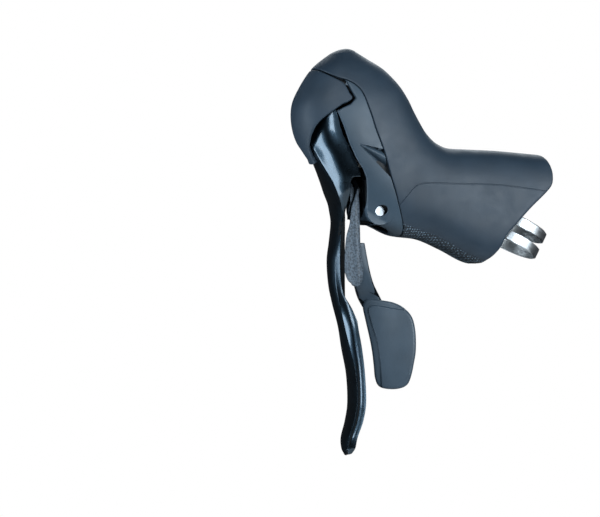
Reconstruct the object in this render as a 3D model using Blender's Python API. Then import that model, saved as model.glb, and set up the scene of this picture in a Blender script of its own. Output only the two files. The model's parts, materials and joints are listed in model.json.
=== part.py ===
"""Right-hand brake and shift lever for a drop handlebar, piece by piece.

Axes: +X to the rear, +Y away from the bicycle, +Z up.
The origin is the centre of the handlebar clamp, on the bar's axis.
Sizes are written in millimetres and MM turns them to metres when a mesh is made.
"""
import math

import bmesh
import bpy
from mathutils import Vector

MM = 0.001
GAP = 0.3                      # between touching pieces

# Handlebar clamp
BAR_RADIUS = 12.0
BAR_ANGLE = 63.0               # slope of the bar, rising to the rear
BAR_BEND_RADIUS = 55.0
BAND_THICKNESS = 1.0
BAND_WIDTH = 12.0
BAND_SLOT = 3.0

# Brake pivot
PIVOT_X = -65.4
PIVOT_Z = 9.2
AXLE_RADIUS = 2.1
AXLE_HALF_LENGTH = 12.9
BUSH_RADIUS = 3.0
CHEEK_INNER = 8.8              # inner face of each fork cheek
CARRIER_HALF = 6.4             # half the pivot block's width

# Shift unit, turning on a spindle along X
SPINDLE_Z = 38.0
SPINDLE_RADIUS = 2.5
DRUM_RADIUS = 10.4
RATCHET_RADIUS = 9.4
RATCHET_TEETH = 24
TOOTH_DEPTH = 1.2

# Shells
HOOD_WALL = 2.4
CAP_WALL = 1.8
BLADE_WALL = 1.4
SEAM_GAP = GAP + 0.05
BRACKET_INSET = HOOD_WALL + SEAM_GAP
HOOD_STEPS = (2, 28)           # rows per station and sides of the outer shells

# Fastener places
BLADE_BOLT_Y = 5.4
BLADE_BOLT_HEIGHTS = (16.0, 22.0)
CAP_SCREW_Z = 53.0
GRUB_Y = 10.6
COVER_SCREW = (-70.5, 27.5)    # side cover screws (x, z)
RIVET = (-76.3, 8.6)           # small lever's rivet (x, z)
PAD_SCREW = (-1.0, -43.0)      # across the pad, height
ANCHOR = (-57.0, 25.8)         # brake cable anchor (x, z)
REACH = (-1.5, 18.0)           # reach screw (y, z)
SCREW_BORE = 1.35              # hole round a small screw's shank
PIN_BORE = 1.3                 # hole round a pawl's pin
RIVET_BORE = 0.7

# Fastener profiles: distance along the axis from the head's face, radius
SMALL_SCREW = [(0.0, 2.0), (1.3, 2.0), (1.3, 1.0), (5.6, 1.0)]
BLADE_BOLT = [(0.0, 2.2), (1.5, 2.2), (1.5, 1.05), (10.8, 1.05)]
CAP_SCREW = [(0.0, 2.2), (1.7, 2.2), (1.7, 1.05), (14.2, 1.05)]
REACH_SCREW = [(0.0, 2.3), (1.6, 2.3), (1.6, 1.5), (18.2, 1.5)]
PAD_SCREW_PROFILE = [(0.0, 2.1), (1.4, 2.1), (1.4, 1.05), (7.2, 1.05)]
# Clamp bolt and washer: distance ahead of the bar's centre, radius
CLAMP_BOLT = [(14.0, 2.5), (34.1, 2.5), (34.1, 4.2), (38.6, 4.2), (38.6, 2.2), (35.4, 2.2)]
CLAMP_WASHER = [(32.7, 2.8), (32.7, 5.2), (33.8, 5.2), (33.8, 2.8)]
LUG_RADIUS = 5.4

# Body outline in side view, rear mouth to pommel:
# upper or rear point (x, z), lower or front point (x, z), half width, squareness
BODY_STATIONS = [
    ((22.0, 32.5), (4.0, -14.0), 18.0, 3.4),
    ((8.0, 33.8), (-9.0, -13.4), 17.8, 3.3),
    ((-8.0, 35.2), (-20.0, -13.2), 16.8, 3.1),
    ((-21.0, 35.8), (-32.0, -7.6), 16.2, 2.9),
    ((-31.0, 36.4), (-43.0, -3.2), 16.8, 2.7),
    ((-36.5, 38.6), (-56.0, -1.4), 18.2, 2.6),
    ((-39.5, 41.0), (-66.5, 3.0), 19.4, 2.5),
    ((-42.0, 44.0), (-77.0, 10.0), 20.0, 2.4),
    ((-44.5, 48.0), (-86.0, 20.0), 20.5, 2.4),
    ((-47.0, 52.5), (-94.0, 32.0), 20.5, 2.4),
    ((-49.8, 58.0), (-99.0, 43.0), 20.0, 2.4),
    ((-54.0, 64.0), (-99.8, 53.5), 18.6, 2.4),
    ((-60.5, 70.3), (-96.4, 62.0), 15.6, 2.4),
    ((-67.5, 74.6), (-90.6, 70.6), 11.2, 2.4),
    ((-72.5, 77.8), (-83.0, 76.8), 5.6, 2.4),
]
BODY_POLE = (-77.0, 79.0)

# Seam between the hood and the side covers, top to bottom (x, z)
HOOD_SEAM = [
    (-93.5, 72.8), (-90.5, 70.0), (-87.2, 66.9), (-82.2, 63.9), (-78.3, 60.4), (-75.0, 57.6),
    (-72.8, 54.2), (-71.3, 49.5), (-69.6, 44.1), (-66.1, 35.0), (-62.9, 24.7),
    (-60.2, 17.2), (-58.0, 11.0), (-55.1, 3.7), (-52.9, -2.5),
]
# Front edge of the side covers, from the cap's rear edge down to the pivot boss
COVER_FRONT = [
    (-81.0, 62.0), (-79.5, 58.4), (-78.4, 55.4), (-81.5, 52.9), (-85.6, 50.7), (-85.0, 46.2),
    (-82.0, 38.5), (-78.7, 32.0), (-75.2, 26.9), (-73.7, 23.4), (-72.9, 18.3), (-72.4, 11.8),
]
BOSS_RADIUS = 6.9
# Recess over the cable entry in each side cover
GILL = [(-77.0, 37.6), (-67.0, 35.0), (-63.6, 24.6)]
GILL_DEPTH = 1.3
# Edge of the head cap: rear edge from the top, the rear tip, then the lower edge
CAP_EDGE = [
    (-93.9, 72.6), (-91.0, 70.0), (-87.5, 66.7), (-84.0, 64.5), (-81.5, 61.8), (-79.9, 58.3),
    (-78.9, 55.6), (-81.7, 53.3), (-85.4, 51.3), (-89.8, 49.0), (-93.8, 46.2),
    (-95.6, 43.6), (-96.2, 40.2), (-95.6, 36.3), (-94.4, 32.5), (-92.2, 29.0),
]
# Rear mouth of the hood, top to bottom
MOUTH = [
    (10.8, 46.0), (11.2, 35.0), (12.2, 31.4), (12.9, 28.0), (13.0, 24.4), (12.2, 20.6), (9.2, 17.0),
    (2.4, 10.6), (-4.0, 3.8), (-8.6, -1.6), (-10.6, -6.4), (-13.0, -10.2), (-16.4, -14.2), (-17.0, -20.0),
]

# Front of the moulded body above the pivot, bottom to top (x, z)
BRACKET_NOSE = [
    (-71.0, 20.0), (-71.6, 24.5), (-74.6, 31.0), (-78.2, 39.0), (-80.5, 46.5), (-80.0, 51.0),
    (-76.6, 56.4), (-78.6, 60.2), (-81.6, 63.0), (-85.4, 66.2), (-88.0, 95.0), (-130.0, 95.0),
    (-130.0, -25.0),
]
# Slot between the fork cheeks (x, z)
LEVER_SLOT = [(-90.0, -12.0), (-57.5, -12.0), (-50.4, 5.0), (-50.4, 32.0), (-55.0, 54.6), (-90.0, 54.6)]
# Pivot block above its round nose (x, z)
BLOCK_OUTLINE = [
    (-55.4, 19.0), (-53.4, 25.5), (-54.6, 29.6), (-57.6, 30.6), (-60.6, 29.6), (-60.6, 46.0),
    (-63.6, 46.0), (-63.6, 26.4), (-71.0, 26.4),
]
# Sections turned about the spindle: distance ahead of the origin, radius
SPINDLE_BORE = SPINDLE_RADIUS + GAP
DRUM_SECTION = [
    (67.2, SPINDLE_BORE), (67.2, DRUM_RADIUS), (68.4, DRUM_RADIUS), (69.1, DRUM_RADIUS - 1.6),
    (69.9, DRUM_RADIUS - 1.6), (70.6, DRUM_RADIUS), (71.8, DRUM_RADIUS), (71.8, SPINDLE_BORE),
]
SPINDLE_PROFILE = [(0.0, 4.0), (1.8, 4.0), (1.8, SPINDLE_RADIUS), (32.8, SPINDLE_RADIUS)]
SPINDLE_WASHER = [(85.9, SPINDLE_BORE), (85.9, 5.4), (86.6, 5.4), (86.6, SPINDLE_BORE)]
# Flange bush: distance from the middle plane, radius
BUSH_SECTION = [(0.6, 2.4), (0.6, BUSH_RADIUS), (6.7, BUSH_RADIUS), (6.7, 3.9), (7.4, 3.9), (7.4, 2.4)]

# Blade: height, centre y, front x, rear x, half width
BLADE_STATIONS = [
    (49.5, 0.0, -95.0, -84.5, 12.4),
    (44.0, 0.0, -95.6, -83.8, 13.6),
    (38.0, 0.0, -94.6, -81.0, 14.6),
    (32.0, 0.2, -91.6, -77.9, 15.4),
    (26.0, 0.6, -88.4, -75.2, 15.4),
    (21.0, 1.6, -85.6, -74.4, 14.4),
    (17.0, 2.4, -83.6, -74.4, 13.0),
    (12.5, 3.8, -81.2, -74.4, 10.9),
    (9.0, 4.8, -80.4, -74.2, 9.4),
    (4.0, 5.5, -79.8, -73.6, 8.3),
    (-4.0, 5.6, -80.9, -75.4, 7.8),
    (-12.0, 5.3, -82.3, -77.2, 7.5),
    (-22.0, 4.5, -82.0, -77.6, 7.3),
    (-30.0, 3.8, -80.5, -75.7, 7.6),
    (-40.0, 3.0, -78.0, -72.6, 8.2),
    (-50.0, 2.3, -76.2, -71.0, 8.2),
    (-61.0, 1.0, -74.2, -70.0, 7.9),
    (-73.0, -0.6, -74.2, -70.0, 7.7),
    (-81.0, -1.8, -75.9, -71.7, 7.6),
    (-88.0, -3.0, -78.4, -74.4, 6.8),
    (-92.6, -3.6, -78.6, -75.6, 4.8),
    (-94.6, -3.8, -78.0, -76.6, 2.0),
]

# Pivot pins of the two pawls (y, z)
DRIVE_PIN = (-10.8, 46.5)
RELEASE_PIN = (9.6, 28.2)
# Large lever's pad: middle in plan, direction across its face, direction out of its face
PAD_CENTRE = (-58.5, -7.7)
PAD_ACROSS = Vector((0.923, -0.385, 0.0))
PAD_FACE = Vector((-0.385, -0.923, 0.0))
# Outline of the large lever's pad: across its face, height
PAD_OUTLINE = [
    (-12.3, -32.0), (-11.8, -29.6), (-9.6, -28.6), (-3.7, -29.3), (1.6, -30.4), (5.9, -32.8),
    (9.1, -36.6), (10.5, -42.5), (10.7, -50.5), (9.8, -56.0), (8.4, -62.0), (6.8, -65.7), (3.0, -67.3),
    (-2.0, -67.3), (-5.4, -66.0), (-6.9, -62.5), (-7.4, -57.5), (-9.0, -46.0), (-11.0, -37.4),
]
# Large lever's stem: height, centre x, centre y, half x, half y, turn in degrees
DOWNSHIFT_STEM = [
    (29.0, -76.4, -3.6, 0.9, 1.8, 0), (25.0, -76.2, -4.5, 0.9, 1.7, 0),
    (20.5, -74.1, -5.4, 0.8, 1.4, 0), (12.0, -74.0, -5.6, 0.8, 1.2, 0),
    (4.0, -74.0, -5.6, 1.0, 1.2, 0), (-4.4, -73.9, -5.3, 1.6, 1.2, -5),
    (-5.0, -73.1, -5.3, 3.0, 1.2, -5),
    (-16.0, -71.4, -4.3, 3.9, 1.2, -10), (-22.0, -69.3, -2.9, 4.1, 1.1, -14),
    (-28.0, -66.1, -0.9, 4.7, 1.0, -20), (-34.0, -62.9, -1.4, 4.6, 0.9, -22.6),
    (-45.0, -59.4, -3.3, 4.6, 0.9, -22.6), (-57.0, -58.4, -3.8, 3.4, 0.9, -22.6),
]
# Small lever's stem: height, centre x, centre y, half x, half y, turn in degrees
UPSHIFT_STEM = [
    (28.5, -79.4, -4.2, 0.9, 1.6, 0), (24.0, -79.3, -4.9, 0.9, 1.6, 0),
    (19.4, -76.0, -5.6, 0.75, 1.3, 0), (12.5, -76.0, -5.8, 0.75, 1.1, 0),
    (10.8, -76.3, -5.8, 1.1, 1.1, 0), (5.5, -76.3, -5.8, 1.1, 1.1, 0),
]
# Small lever's cover: height, front edge, ridge and rear edge (x, y)
UPSHIFT_SECTIONS = [
    (12.0, (-77.4, -8.6), (-75.8, -10.2), (-73.8, -9.6)),
    (8.0, (-77.4, -8.2), (-75.6, -10.4), (-73.4, -9.5)),
    (3.0, (-77.8, -7.4), (-75.5, -10.6), (-73.0, -9.2)),
    (-1.0, (-78.6, -6.3), (-75.5, -10.7), (-72.8, -9.0)),
    (-6.0, (-79.0, -5.6), (-75.3, -10.8), (-72.6, -8.9)),
    (-12.0, (-79.0, -4.9), (-75.0, -10.8), (-71.6, -8.5)),
    (-17.0, (-78.8, -4.6), (-74.7, -10.6), (-71.0, -8.3)),
    (-20.5, (-77.6, -5.4), (-74.5, -9.9), (-71.8, -8.4)),
    (-22.3, (-75.9, -6.9), (-74.3, -9.0), (-72.8, -8.4)),
]
# Opening in the blade's inner wall for both levers' stems (x, z)
ARM_WINDOW = [
    (-60.0, 23.5), (-78.2, 23.5), (-77.7, 19.0), (-77.7, 6.0), (-78.6, 0.0), (-77.3, -4.0), (-60.0, -4.0),
]

STEEL = (0.62, 0.64, 0.66)


def reset_scene():
    """Remove every object already in the file."""
    for thing in list(bpy.data.objects):
        bpy.data.objects.remove(thing, do_unlink=True)


def finish(name, colour, roughness, metallic):
    """Principled material of one colour."""
    material = bpy.data.materials.new(name)
    material.use_nodes = True
    shader = material.node_tree.nodes["Principled BSDF"]
    shader.inputs["Base Color"].default_value = (*colour, 1.0)
    shader.inputs["Roughness"].default_value = roughness
    shader.inputs["Metallic"].default_value = metallic
    return material


def add_part(name, mesh_data, material, origin=(0.0, 0.0, 0.0), smooth=40.0):
    """One object from points in millimetres, its origin at the given place."""
    points, faces = mesh_data
    mesh = bpy.data.meshes.new(name)
    base = Vector(origin)
    mesh.from_pydata([(Vector(p) - base) * MM for p in points], [], faces)
    edit = bmesh.new()
    edit.from_mesh(mesh)
    bmesh.ops.remove_doubles(edit, verts=edit.verts, dist=0.01 * MM)
    bmesh.ops.recalc_face_normals(edit, faces=edit.faces)
    edit.to_mesh(mesh)
    edit.free()
    mesh.shade_smooth()
    mesh.set_sharp_from_angle(angle=math.radians(smooth))
    thing = bpy.data.objects.new(name, mesh)
    thing.location = base * MM
    if material is not None:
        mesh.materials.append(material)
    bpy.context.scene.collection.objects.link(thing)
    return thing


def cutter(name, mesh_data):
    """A guide solid used only by Boolean modifiers."""
    thing = add_part("cut_" + name, mesh_data, None)
    thing.hide_render = True
    thing.display_type = "WIRE"
    return thing


def combine(target, tool, operation="DIFFERENCE"):
    """Boolean modifier that cuts, joins or keeps the overlap."""
    step = target.modifiers.new(tool.name, "BOOLEAN")
    step.object = tool
    step.operation = operation
    step.solver = "EXACT"


def cut_by(target, *tools):
    """Cut each tool away from the target."""
    for tool in tools:
        combine(target, tool)


def loft(rings):
    """Skin closed rings of equal length and cap both ends."""
    count = len(rings[0])
    points = [p for ring in rings for p in ring]
    faces = [tuple(range(count)), tuple(range(len(points) - count, len(points)))[::-1]]
    for row in range(len(rings) - 1):
        for i in range(count):
            j = (i + 1) % count
            a = row * count
            faces.append((a + i, a + count + i, a + count + j, a + j))
    return points, faces


def prism_y(outline, y_low, y_high):
    """Side-view outline extruded along Y."""
    return loft([[(x, y, z) for x, z in outline] for y in (y_low, y_high)])


def slanted_box(centre, u, v, w):
    """Box from its centre and three half-edge vectors."""
    c, u, v, w = (Vector(item) for item in (centre, u, v, w))
    rings = []
    for end in (-1, 1):
        corners = [(-1, -1), (1, -1), (1, 1), (-1, 1)]
        rings.append([tuple(c + w * end + u * i + v * j) for i, j in corners])
    return loft(rings)


def prism_x(outline, x_low, x_high):
    """Front-view outline (y, z) extruded along X."""
    return loft([[(x, y, z) for y, z in outline] for x in (x_low, x_high)])


def block(x_range, y_range, z_range):
    """Box between two corners."""
    x0, x1 = x_range
    z0, z1 = z_range
    return prism_y([(x0, z0), (x1, z0), (x1, z1), (x0, z1)], *y_range)


def turned(start, direction, profile, sides=20):
    """Solid of revolution: profile is (distance along the axis, radius)."""
    axis = Vector(direction).normalized()
    side = axis.orthogonal().normalized()
    other = axis.cross(side)
    rings = []
    for along, radius in profile:
        centre = Vector(start) + axis * along
        ring = []
        for i in range(sides):
            turn = math.tau * i / sides
            ring.append(tuple(centre + (side * math.cos(turn) + other * math.sin(turn)) * radius))
        rings.append(ring)
    return loft(rings)


def ring_solid(start, direction, section, sides=20):
    """Turned ring: the closed section is (distance along the axis, radius)."""
    axis = Vector(direction).normalized()
    side = axis.orthogonal().normalized()
    other = axis.cross(side)
    points = []
    for along, radius in section:
        for i in range(sides):
            turn = math.tau * i / sides
            spoke = side * math.cos(turn) + other * math.sin(turn)
            points.append(tuple(Vector(start) + axis * along + spoke * radius))
    faces = []
    for row in range(len(section)):
        below = row * sides
        above = (row + 1) % len(section) * sides
        for i in range(sides):
            j = (i + 1) % sides
            faces.append((below + i, above + i, above + j, below + j))
    return points, faces


def rod(start, end, radius, sides=20):
    """Plain cylinder between two points."""
    length = (Vector(end) - Vector(start)).length
    return turned(start, Vector(end) - Vector(start), [(0.0, radius), (length, radius)], sides)


def arc(centre, radius, start, end, steps):
    """Points of an arc in degrees, both ends included."""
    points = []
    for i in range(steps + 1):
        turn = math.radians(start + (end - start) * i / steps)
        points.append((centre[0] + radius * math.cos(turn), centre[1] + radius * math.sin(turn)))
    return points


def spline(rows, parts):
    """Catmull-Rom rows between rows of numbers, ends kept."""
    result = []
    last = len(rows) - 1
    for i in range(last):
        before = rows[max(i - 1, 0)]
        after = rows[min(i + 2, last)]
        for k in range(parts):
            t = k / parts
            row = []
            for p, a, b, n in zip(before, rows[i], rows[i + 1], after):
                row.append(0.5 * (2 * a + (b - p) * t + (2 * p - 5 * a + 4 * b - n) * t * t
                                  + (3 * a - p - 3 * b + n) * t ** 3))
            result.append(row)
    result.append(list(rows[last]))
    return result


def signed_power(value, power):
    """Power that keeps the sign."""
    return math.copysign(abs(value) ** power, value)


def body_solid(inset, parts=2, sides=28):
    """Outer form of hood, covers and cap, moved inwards by inset."""
    rows = spline([(*a, *b, w, square) for a, b, w, square in BODY_STATIONS], parts)
    rings = []
    for ax, az, bx, bz, width, square in rows:
        upper = Vector((ax, 0.0, az))
        lower = Vector((bx, 0.0, bz))
        centre = (upper + lower) / 2
        half = (upper - lower) / 2
        reach = half.length - inset
        wide = width - inset
        if min(reach, wide) < 1.2:
            continue
        along = half.normalized()
        ring = []
        for i in range(sides):
            turn = math.tau * i / sides
            u = signed_power(math.cos(turn), 2 / square) * reach
            v = signed_power(math.sin(turn), 2 / square) * wide
            ring.append(tuple(centre + along * u + Vector((0.0, v, 0.0))))
        rings.append(ring)
    pole = Vector((BODY_POLE[0], 0.0, BODY_POLE[1] - inset))
    ring = rings[-1]
    middle = sum((Vector(p) for p in ring), Vector()) / len(ring)
    rings.append([tuple(pole + (Vector(p) - middle) * 0.3) for p in ring])
    return loft(rings)


BAR_AXIS = Vector((math.cos(math.radians(BAR_ANGLE)), 0.0, math.sin(math.radians(BAR_ANGLE))))
BAR_FRONT = Vector((-BAR_AXIS.z, 0.0, BAR_AXIS.x))
PIVOT = (PIVOT_X, 0.0, PIVOT_Z)
SPINDLE = (-62.0, 0.0, SPINDLE_Z)


def cover_screw_at(y):
    """Point on the side cover screws' line."""
    x, z = COVER_SCREW
    return (x, y, z)


def rivet_at(y):
    """Point on the small lever's rivet."""
    x, z = RIVET
    return (x, y, z)


def anchor_at(y):
    """Point on the brake cable anchor's axis."""
    x, z = ANCHOR
    return (x, y, z)


def along_front(distance):
    """Point ahead of the bar's centre, square to the bar."""
    return tuple(BAR_FRONT * distance)


def pivot_rod(name, radius, y_low, y_high):
    """Guide cylinder on the brake pivot's axis."""
    return cutter(name, rod((PIVOT_X, y_low, PIVOT_Z), (PIVOT_X, y_high, PIVOT_Z), radius))


def bar_tube(name, radius):
    """Guide tube along the handlebar, which bends about a point below and behind the clamp."""
    centre = BAR_FRONT * -BAR_BEND_RADIUS
    rings = []
    for degrees in range(-36, 88, 4):
        lean = math.radians(degrees)
        spoke = BAR_FRONT * math.cos(lean) + BAR_AXIS * math.sin(lean)
        ring = []
        for i in range(36):
            turn = math.tau * i / 36
            reach = BAR_BEND_RADIUS + radius * math.cos(turn)
            ring.append(tuple(centre + spoke * reach + Vector((0.0, radius * math.sin(turn), 0.0))))
        rings.append(ring)
    return cutter(name, loft(rings))


def behind_mouth(name):
    """Guide solid behind the rear mouth."""
    return cutter(name, prism_y(MOUTH + [(60.0, -20.0), (60.0, 40.0)], -40, 40))


def make_bracket():
    """Moulded body that carries the pivot and seats on the bar."""
    nylon = finish("glass_filled_nylon", (0.02, 0.02, 0.022), 0.55, 0.0)
    bracket = add_part("bracket_body", body_solid(BRACKET_INSET, 1, 24), nylon)
    front = [(-60.6, -25.0), (-60.6, 6.6)]
    front += arc((PIVOT_X, PIVOT_Z), 5.5, 300, 180, 6)
    region = front + BRACKET_NOSE
    cut_by(bracket, cutter("bracket_front", prism_y(region, -40, 40)))
    cut_by(bracket, behind_mouth("bracket_mouth"), bar_tube("bracket_saddle", BAR_RADIUS + 1.3))
    cut_by(bracket, cutter("lever_slot", prism_y(LEVER_SLOT, -CHEEK_INNER, CHEEK_INNER)))
    cut_by(bracket, cutter("unit_bay", block((-100, -59.5), (-14, 14), (22.5, 54.6))))
    cut_by(bracket, pivot_rod("axle_bore", AXLE_RADIUS + GAP, -20, 20))
    lug = cutter("lug_pocket", rod(along_front(5), along_front(18.2), 6.2, 16))
    bolt = cutter("bolt_hole", rod(along_front(10), along_front(40), 3.0, 16))
    tunnel = cutter("tool_tunnel", rod(along_front(32.4), along_front(62), 5.8, 16))
    cut_by(bracket, lug, bolt, tunnel)
    grub = cutter("grub_hole", rod((-80, GRUB_Y, PIVOT_Z), (-67.0, GRUB_Y, PIVOT_Z), SCREW_BORE, 12))
    cut_by(bracket, grub)
    cut_by(bracket, cutter("horn_top", block((-110, -50), (-30, 30), (75.4, 100))))
    for side in (-1, 1):
        hole = rod(cover_screw_at(10 * side), cover_screw_at(24 * side), SCREW_BORE, 12)
        cut_by(bracket, cutter("cover_screw_hole", hole))


def make_hood():
    """Rubber hood over the grip and the pommel."""
    rubber = finish("hood_rubber", (0.055, 0.075, 0.09), 0.6, 0.0)
    hood = add_part("hood", body_solid(0.0, *HOOD_STEPS), rubber)
    front = HOOD_SEAM + [(-52.9, -30.0), (-130.0, -30.0), (-130.0, 95.0)]
    cut_by(hood, cutter("hood_front", prism_y(front, -40, 40)))
    cut_by(hood, cutter("hood_inside", body_solid(HOOD_WALL, *HOOD_STEPS)))
    cut_by(hood, behind_mouth("hood_mouth"), bar_tube("hood_saddle", BAR_RADIUS + 1.2))


def make_side_covers():
    """Two shells that close the sides of the head round the pivot."""
    moulded = finish("cover_plastic", (0.07, 0.095, 0.115), 0.5, 0.0)
    rear = [(x - SEAM_GAP, z) for x, z in HOOD_SEAM[4:]]
    boss = arc((PIVOT_X, PIVOT_Z), BOSS_RADIUS, 180, 262, 7)
    outline = COVER_FRONT + boss + [(-61.4, 2.2), (-61.0, -6.0), (-53.2, -8.0)] + rear[::-1]
    for name, side in (("inner_side_cover", -1), ("outer_side_cover", 1)):
        cover = add_part(name, body_solid(0.0, *HOOD_STEPS), moulded)
        near, far = sorted((0.15 * side, 30.0 * side))
        keep = cutter(name + "_outline", prism_y(outline, near, far))
        combine(cover, keep, "INTERSECT")
        boss_ends = [(PIVOT_X, reach * side, PIVOT_Z) for reach in (12.0, 13.2)]
        combine(cover, cutter(name + "_boss", rod(*boss_ends, 6.4, 24)), "UNION")
        cut_by(cover, cutter(name + "_inside", body_solid(HOOD_WALL, *HOOD_STEPS)))
        near, far = sorted((8.0 * side, 30.0 * side))
        recess = cutter(name + "_gill", prism_y(GILL, near, far))
        combine(recess, cutter(name + "_gill_floor", body_solid(GILL_DEPTH, *HOOD_STEPS)))
        cut_by(cover, recess, pivot_rod(name + "_eye", 2.5, near, far))
        cut_by(cover, cutter(name + "_fork_room", block((-85, -61.2), (-11.9, 11.9), (-8, 24))))
        hole = rod(cover_screw_at(10 * side), cover_screw_at(18.3 * side), SCREW_BORE, 12)
        cut_by(cover, cutter(name + "_screw_hole", hole))


def make_cap():
    """Head cap carried on the front of the lever."""
    moulded = finish("cap_plastic", (0.075, 0.10, 0.125), 0.42, 0.0)
    cap = add_part("head_cap", body_solid(0.0, *HOOD_STEPS), moulded, PIVOT)
    outline = CAP_EDGE + [(-106.0, 29.0), (-106.0, 90.0)]
    combine(cap, cutter("cap_outline", prism_y(outline, -30, 30)), "INTERSECT")
    inside = cutter("cap_inside", body_solid(CAP_WALL, *HOOD_STEPS))
    boss = cutter("cap_boss", rod((-91.0, 0, CAP_SCREW_Z), (-102.0, 0, CAP_SCREW_Z), 3.0, 16))
    combine(inside, boss)
    cut_by(cap, inside)
    hole = rod((-88, 0, CAP_SCREW_Z), (-96.6, 0, CAP_SCREW_Z), SCREW_BORE, 12)
    cut_by(cap, cutter("cap_screw_hole", hole))


def make_clamp():
    """Slotted stainless band, its bolt and washer."""
    steel = finish("stainless_band", STEEL, 0.25, 1.0)
    outer = BAR_RADIUS + BAND_THICKNESS
    half = BAND_WIDTH / 2
    low = tuple(BAR_AXIS * -half)
    high = tuple(BAR_AXIS * half)
    band = add_part("clamp_band", rod(low, high, outer, 48), steel)
    lug = cutter("band_lug", rod(along_front(10), along_front(17.4), LUG_RADIUS, 16))
    combine(band, lug, "UNION")
    cut_by(band, cutter("band_bore", rod(tuple(BAR_AXIS * -20), tuple(BAR_AXIS * 20), BAR_RADIUS, 48)))
    slot_span = (Vector(along_front(4)) - Vector(along_front(-20))) / 2
    slot = slanted_box(along_front(-8), slot_span, (0, 20, 0), BAR_AXIS * BAND_SLOT / 2)
    cut_by(band, cutter("band_slot", slot))
    cut_by(band, cutter("lug_thread", rod(along_front(13.6), along_front(20), 2.8, 16)))

    zinc = finish("zinc_plated_steel", STEEL, 0.35, 1.0)
    add_part("clamp_bolt", turned((0, 0, 0), BAR_FRONT, CLAMP_BOLT, 18), zinc)
    add_part("clamp_washer", ring_solid((0, 0, 0), BAR_FRONT, CLAMP_WASHER, 20), zinc)


def blade_ring(row, inset, steps=12):
    """Closed D-shaped section of the blade, round side forward."""
    z, y, front, rear, half = row
    front += inset
    half -= inset
    ring = []
    for i in range(steps + 1):
        turn = math.radians(-90 + 180 * i / steps)
        x = rear + (front - rear) * math.cos(turn) ** 0.85
        ring.append((x, y + half * math.sin(turn), z))
    return ring


def make_blade():
    """Glossy lever blade: a channel open to the rear, solid at the tip."""
    gloss = finish("gloss_black_lacquer", (0.012, 0.018, 0.024), 0.12, 0.0)
    rows = spline(BLADE_STATIONS, 1)
    blade = add_part("lever_blade", loft([blade_ring(r, 0.0) for r in rows]), gloss, PIVOT)
    hollow = []
    for z, y, front, rear, half in rows:
        if z > -90:
            depth = min(max(rear - front - BLADE_WALL, 1.0), 30.0)
            floor = rear - depth if z > -60 else rear - 2.2
            hollow.append((z + (3.0 if not hollow else 0.0), y, floor - BLADE_WALL, rear, half))
    rings = []
    for row in hollow:
        ring = blade_ring(row, BLADE_WALL)
        tail = [(row[3] + 12.0, ring[-1][1], row[0]), (row[3] + 12.0, ring[0][1], row[0])]
        rings.append(ring + tail)
    channel = cutter("blade_channel", loft(rings))
    boss = cutter("blade_boss", block((-100, -78.6), (2.0, 9.0), (13.0, 25.0)))
    combine(channel, boss)
    cut_by(blade, channel)
    for z in BLADE_BOLT_HEIGHTS:
        hole = rod((-70, BLADE_BOLT_Y, z), (-80.8, BLADE_BOLT_Y, z), SCREW_BORE, 12)
        cut_by(blade, cutter("blade_bolt_hole", hole))
    cut_by(blade, cutter("arm_window", prism_y(ARM_WINDOW, -40.0, -3.4)))


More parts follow.
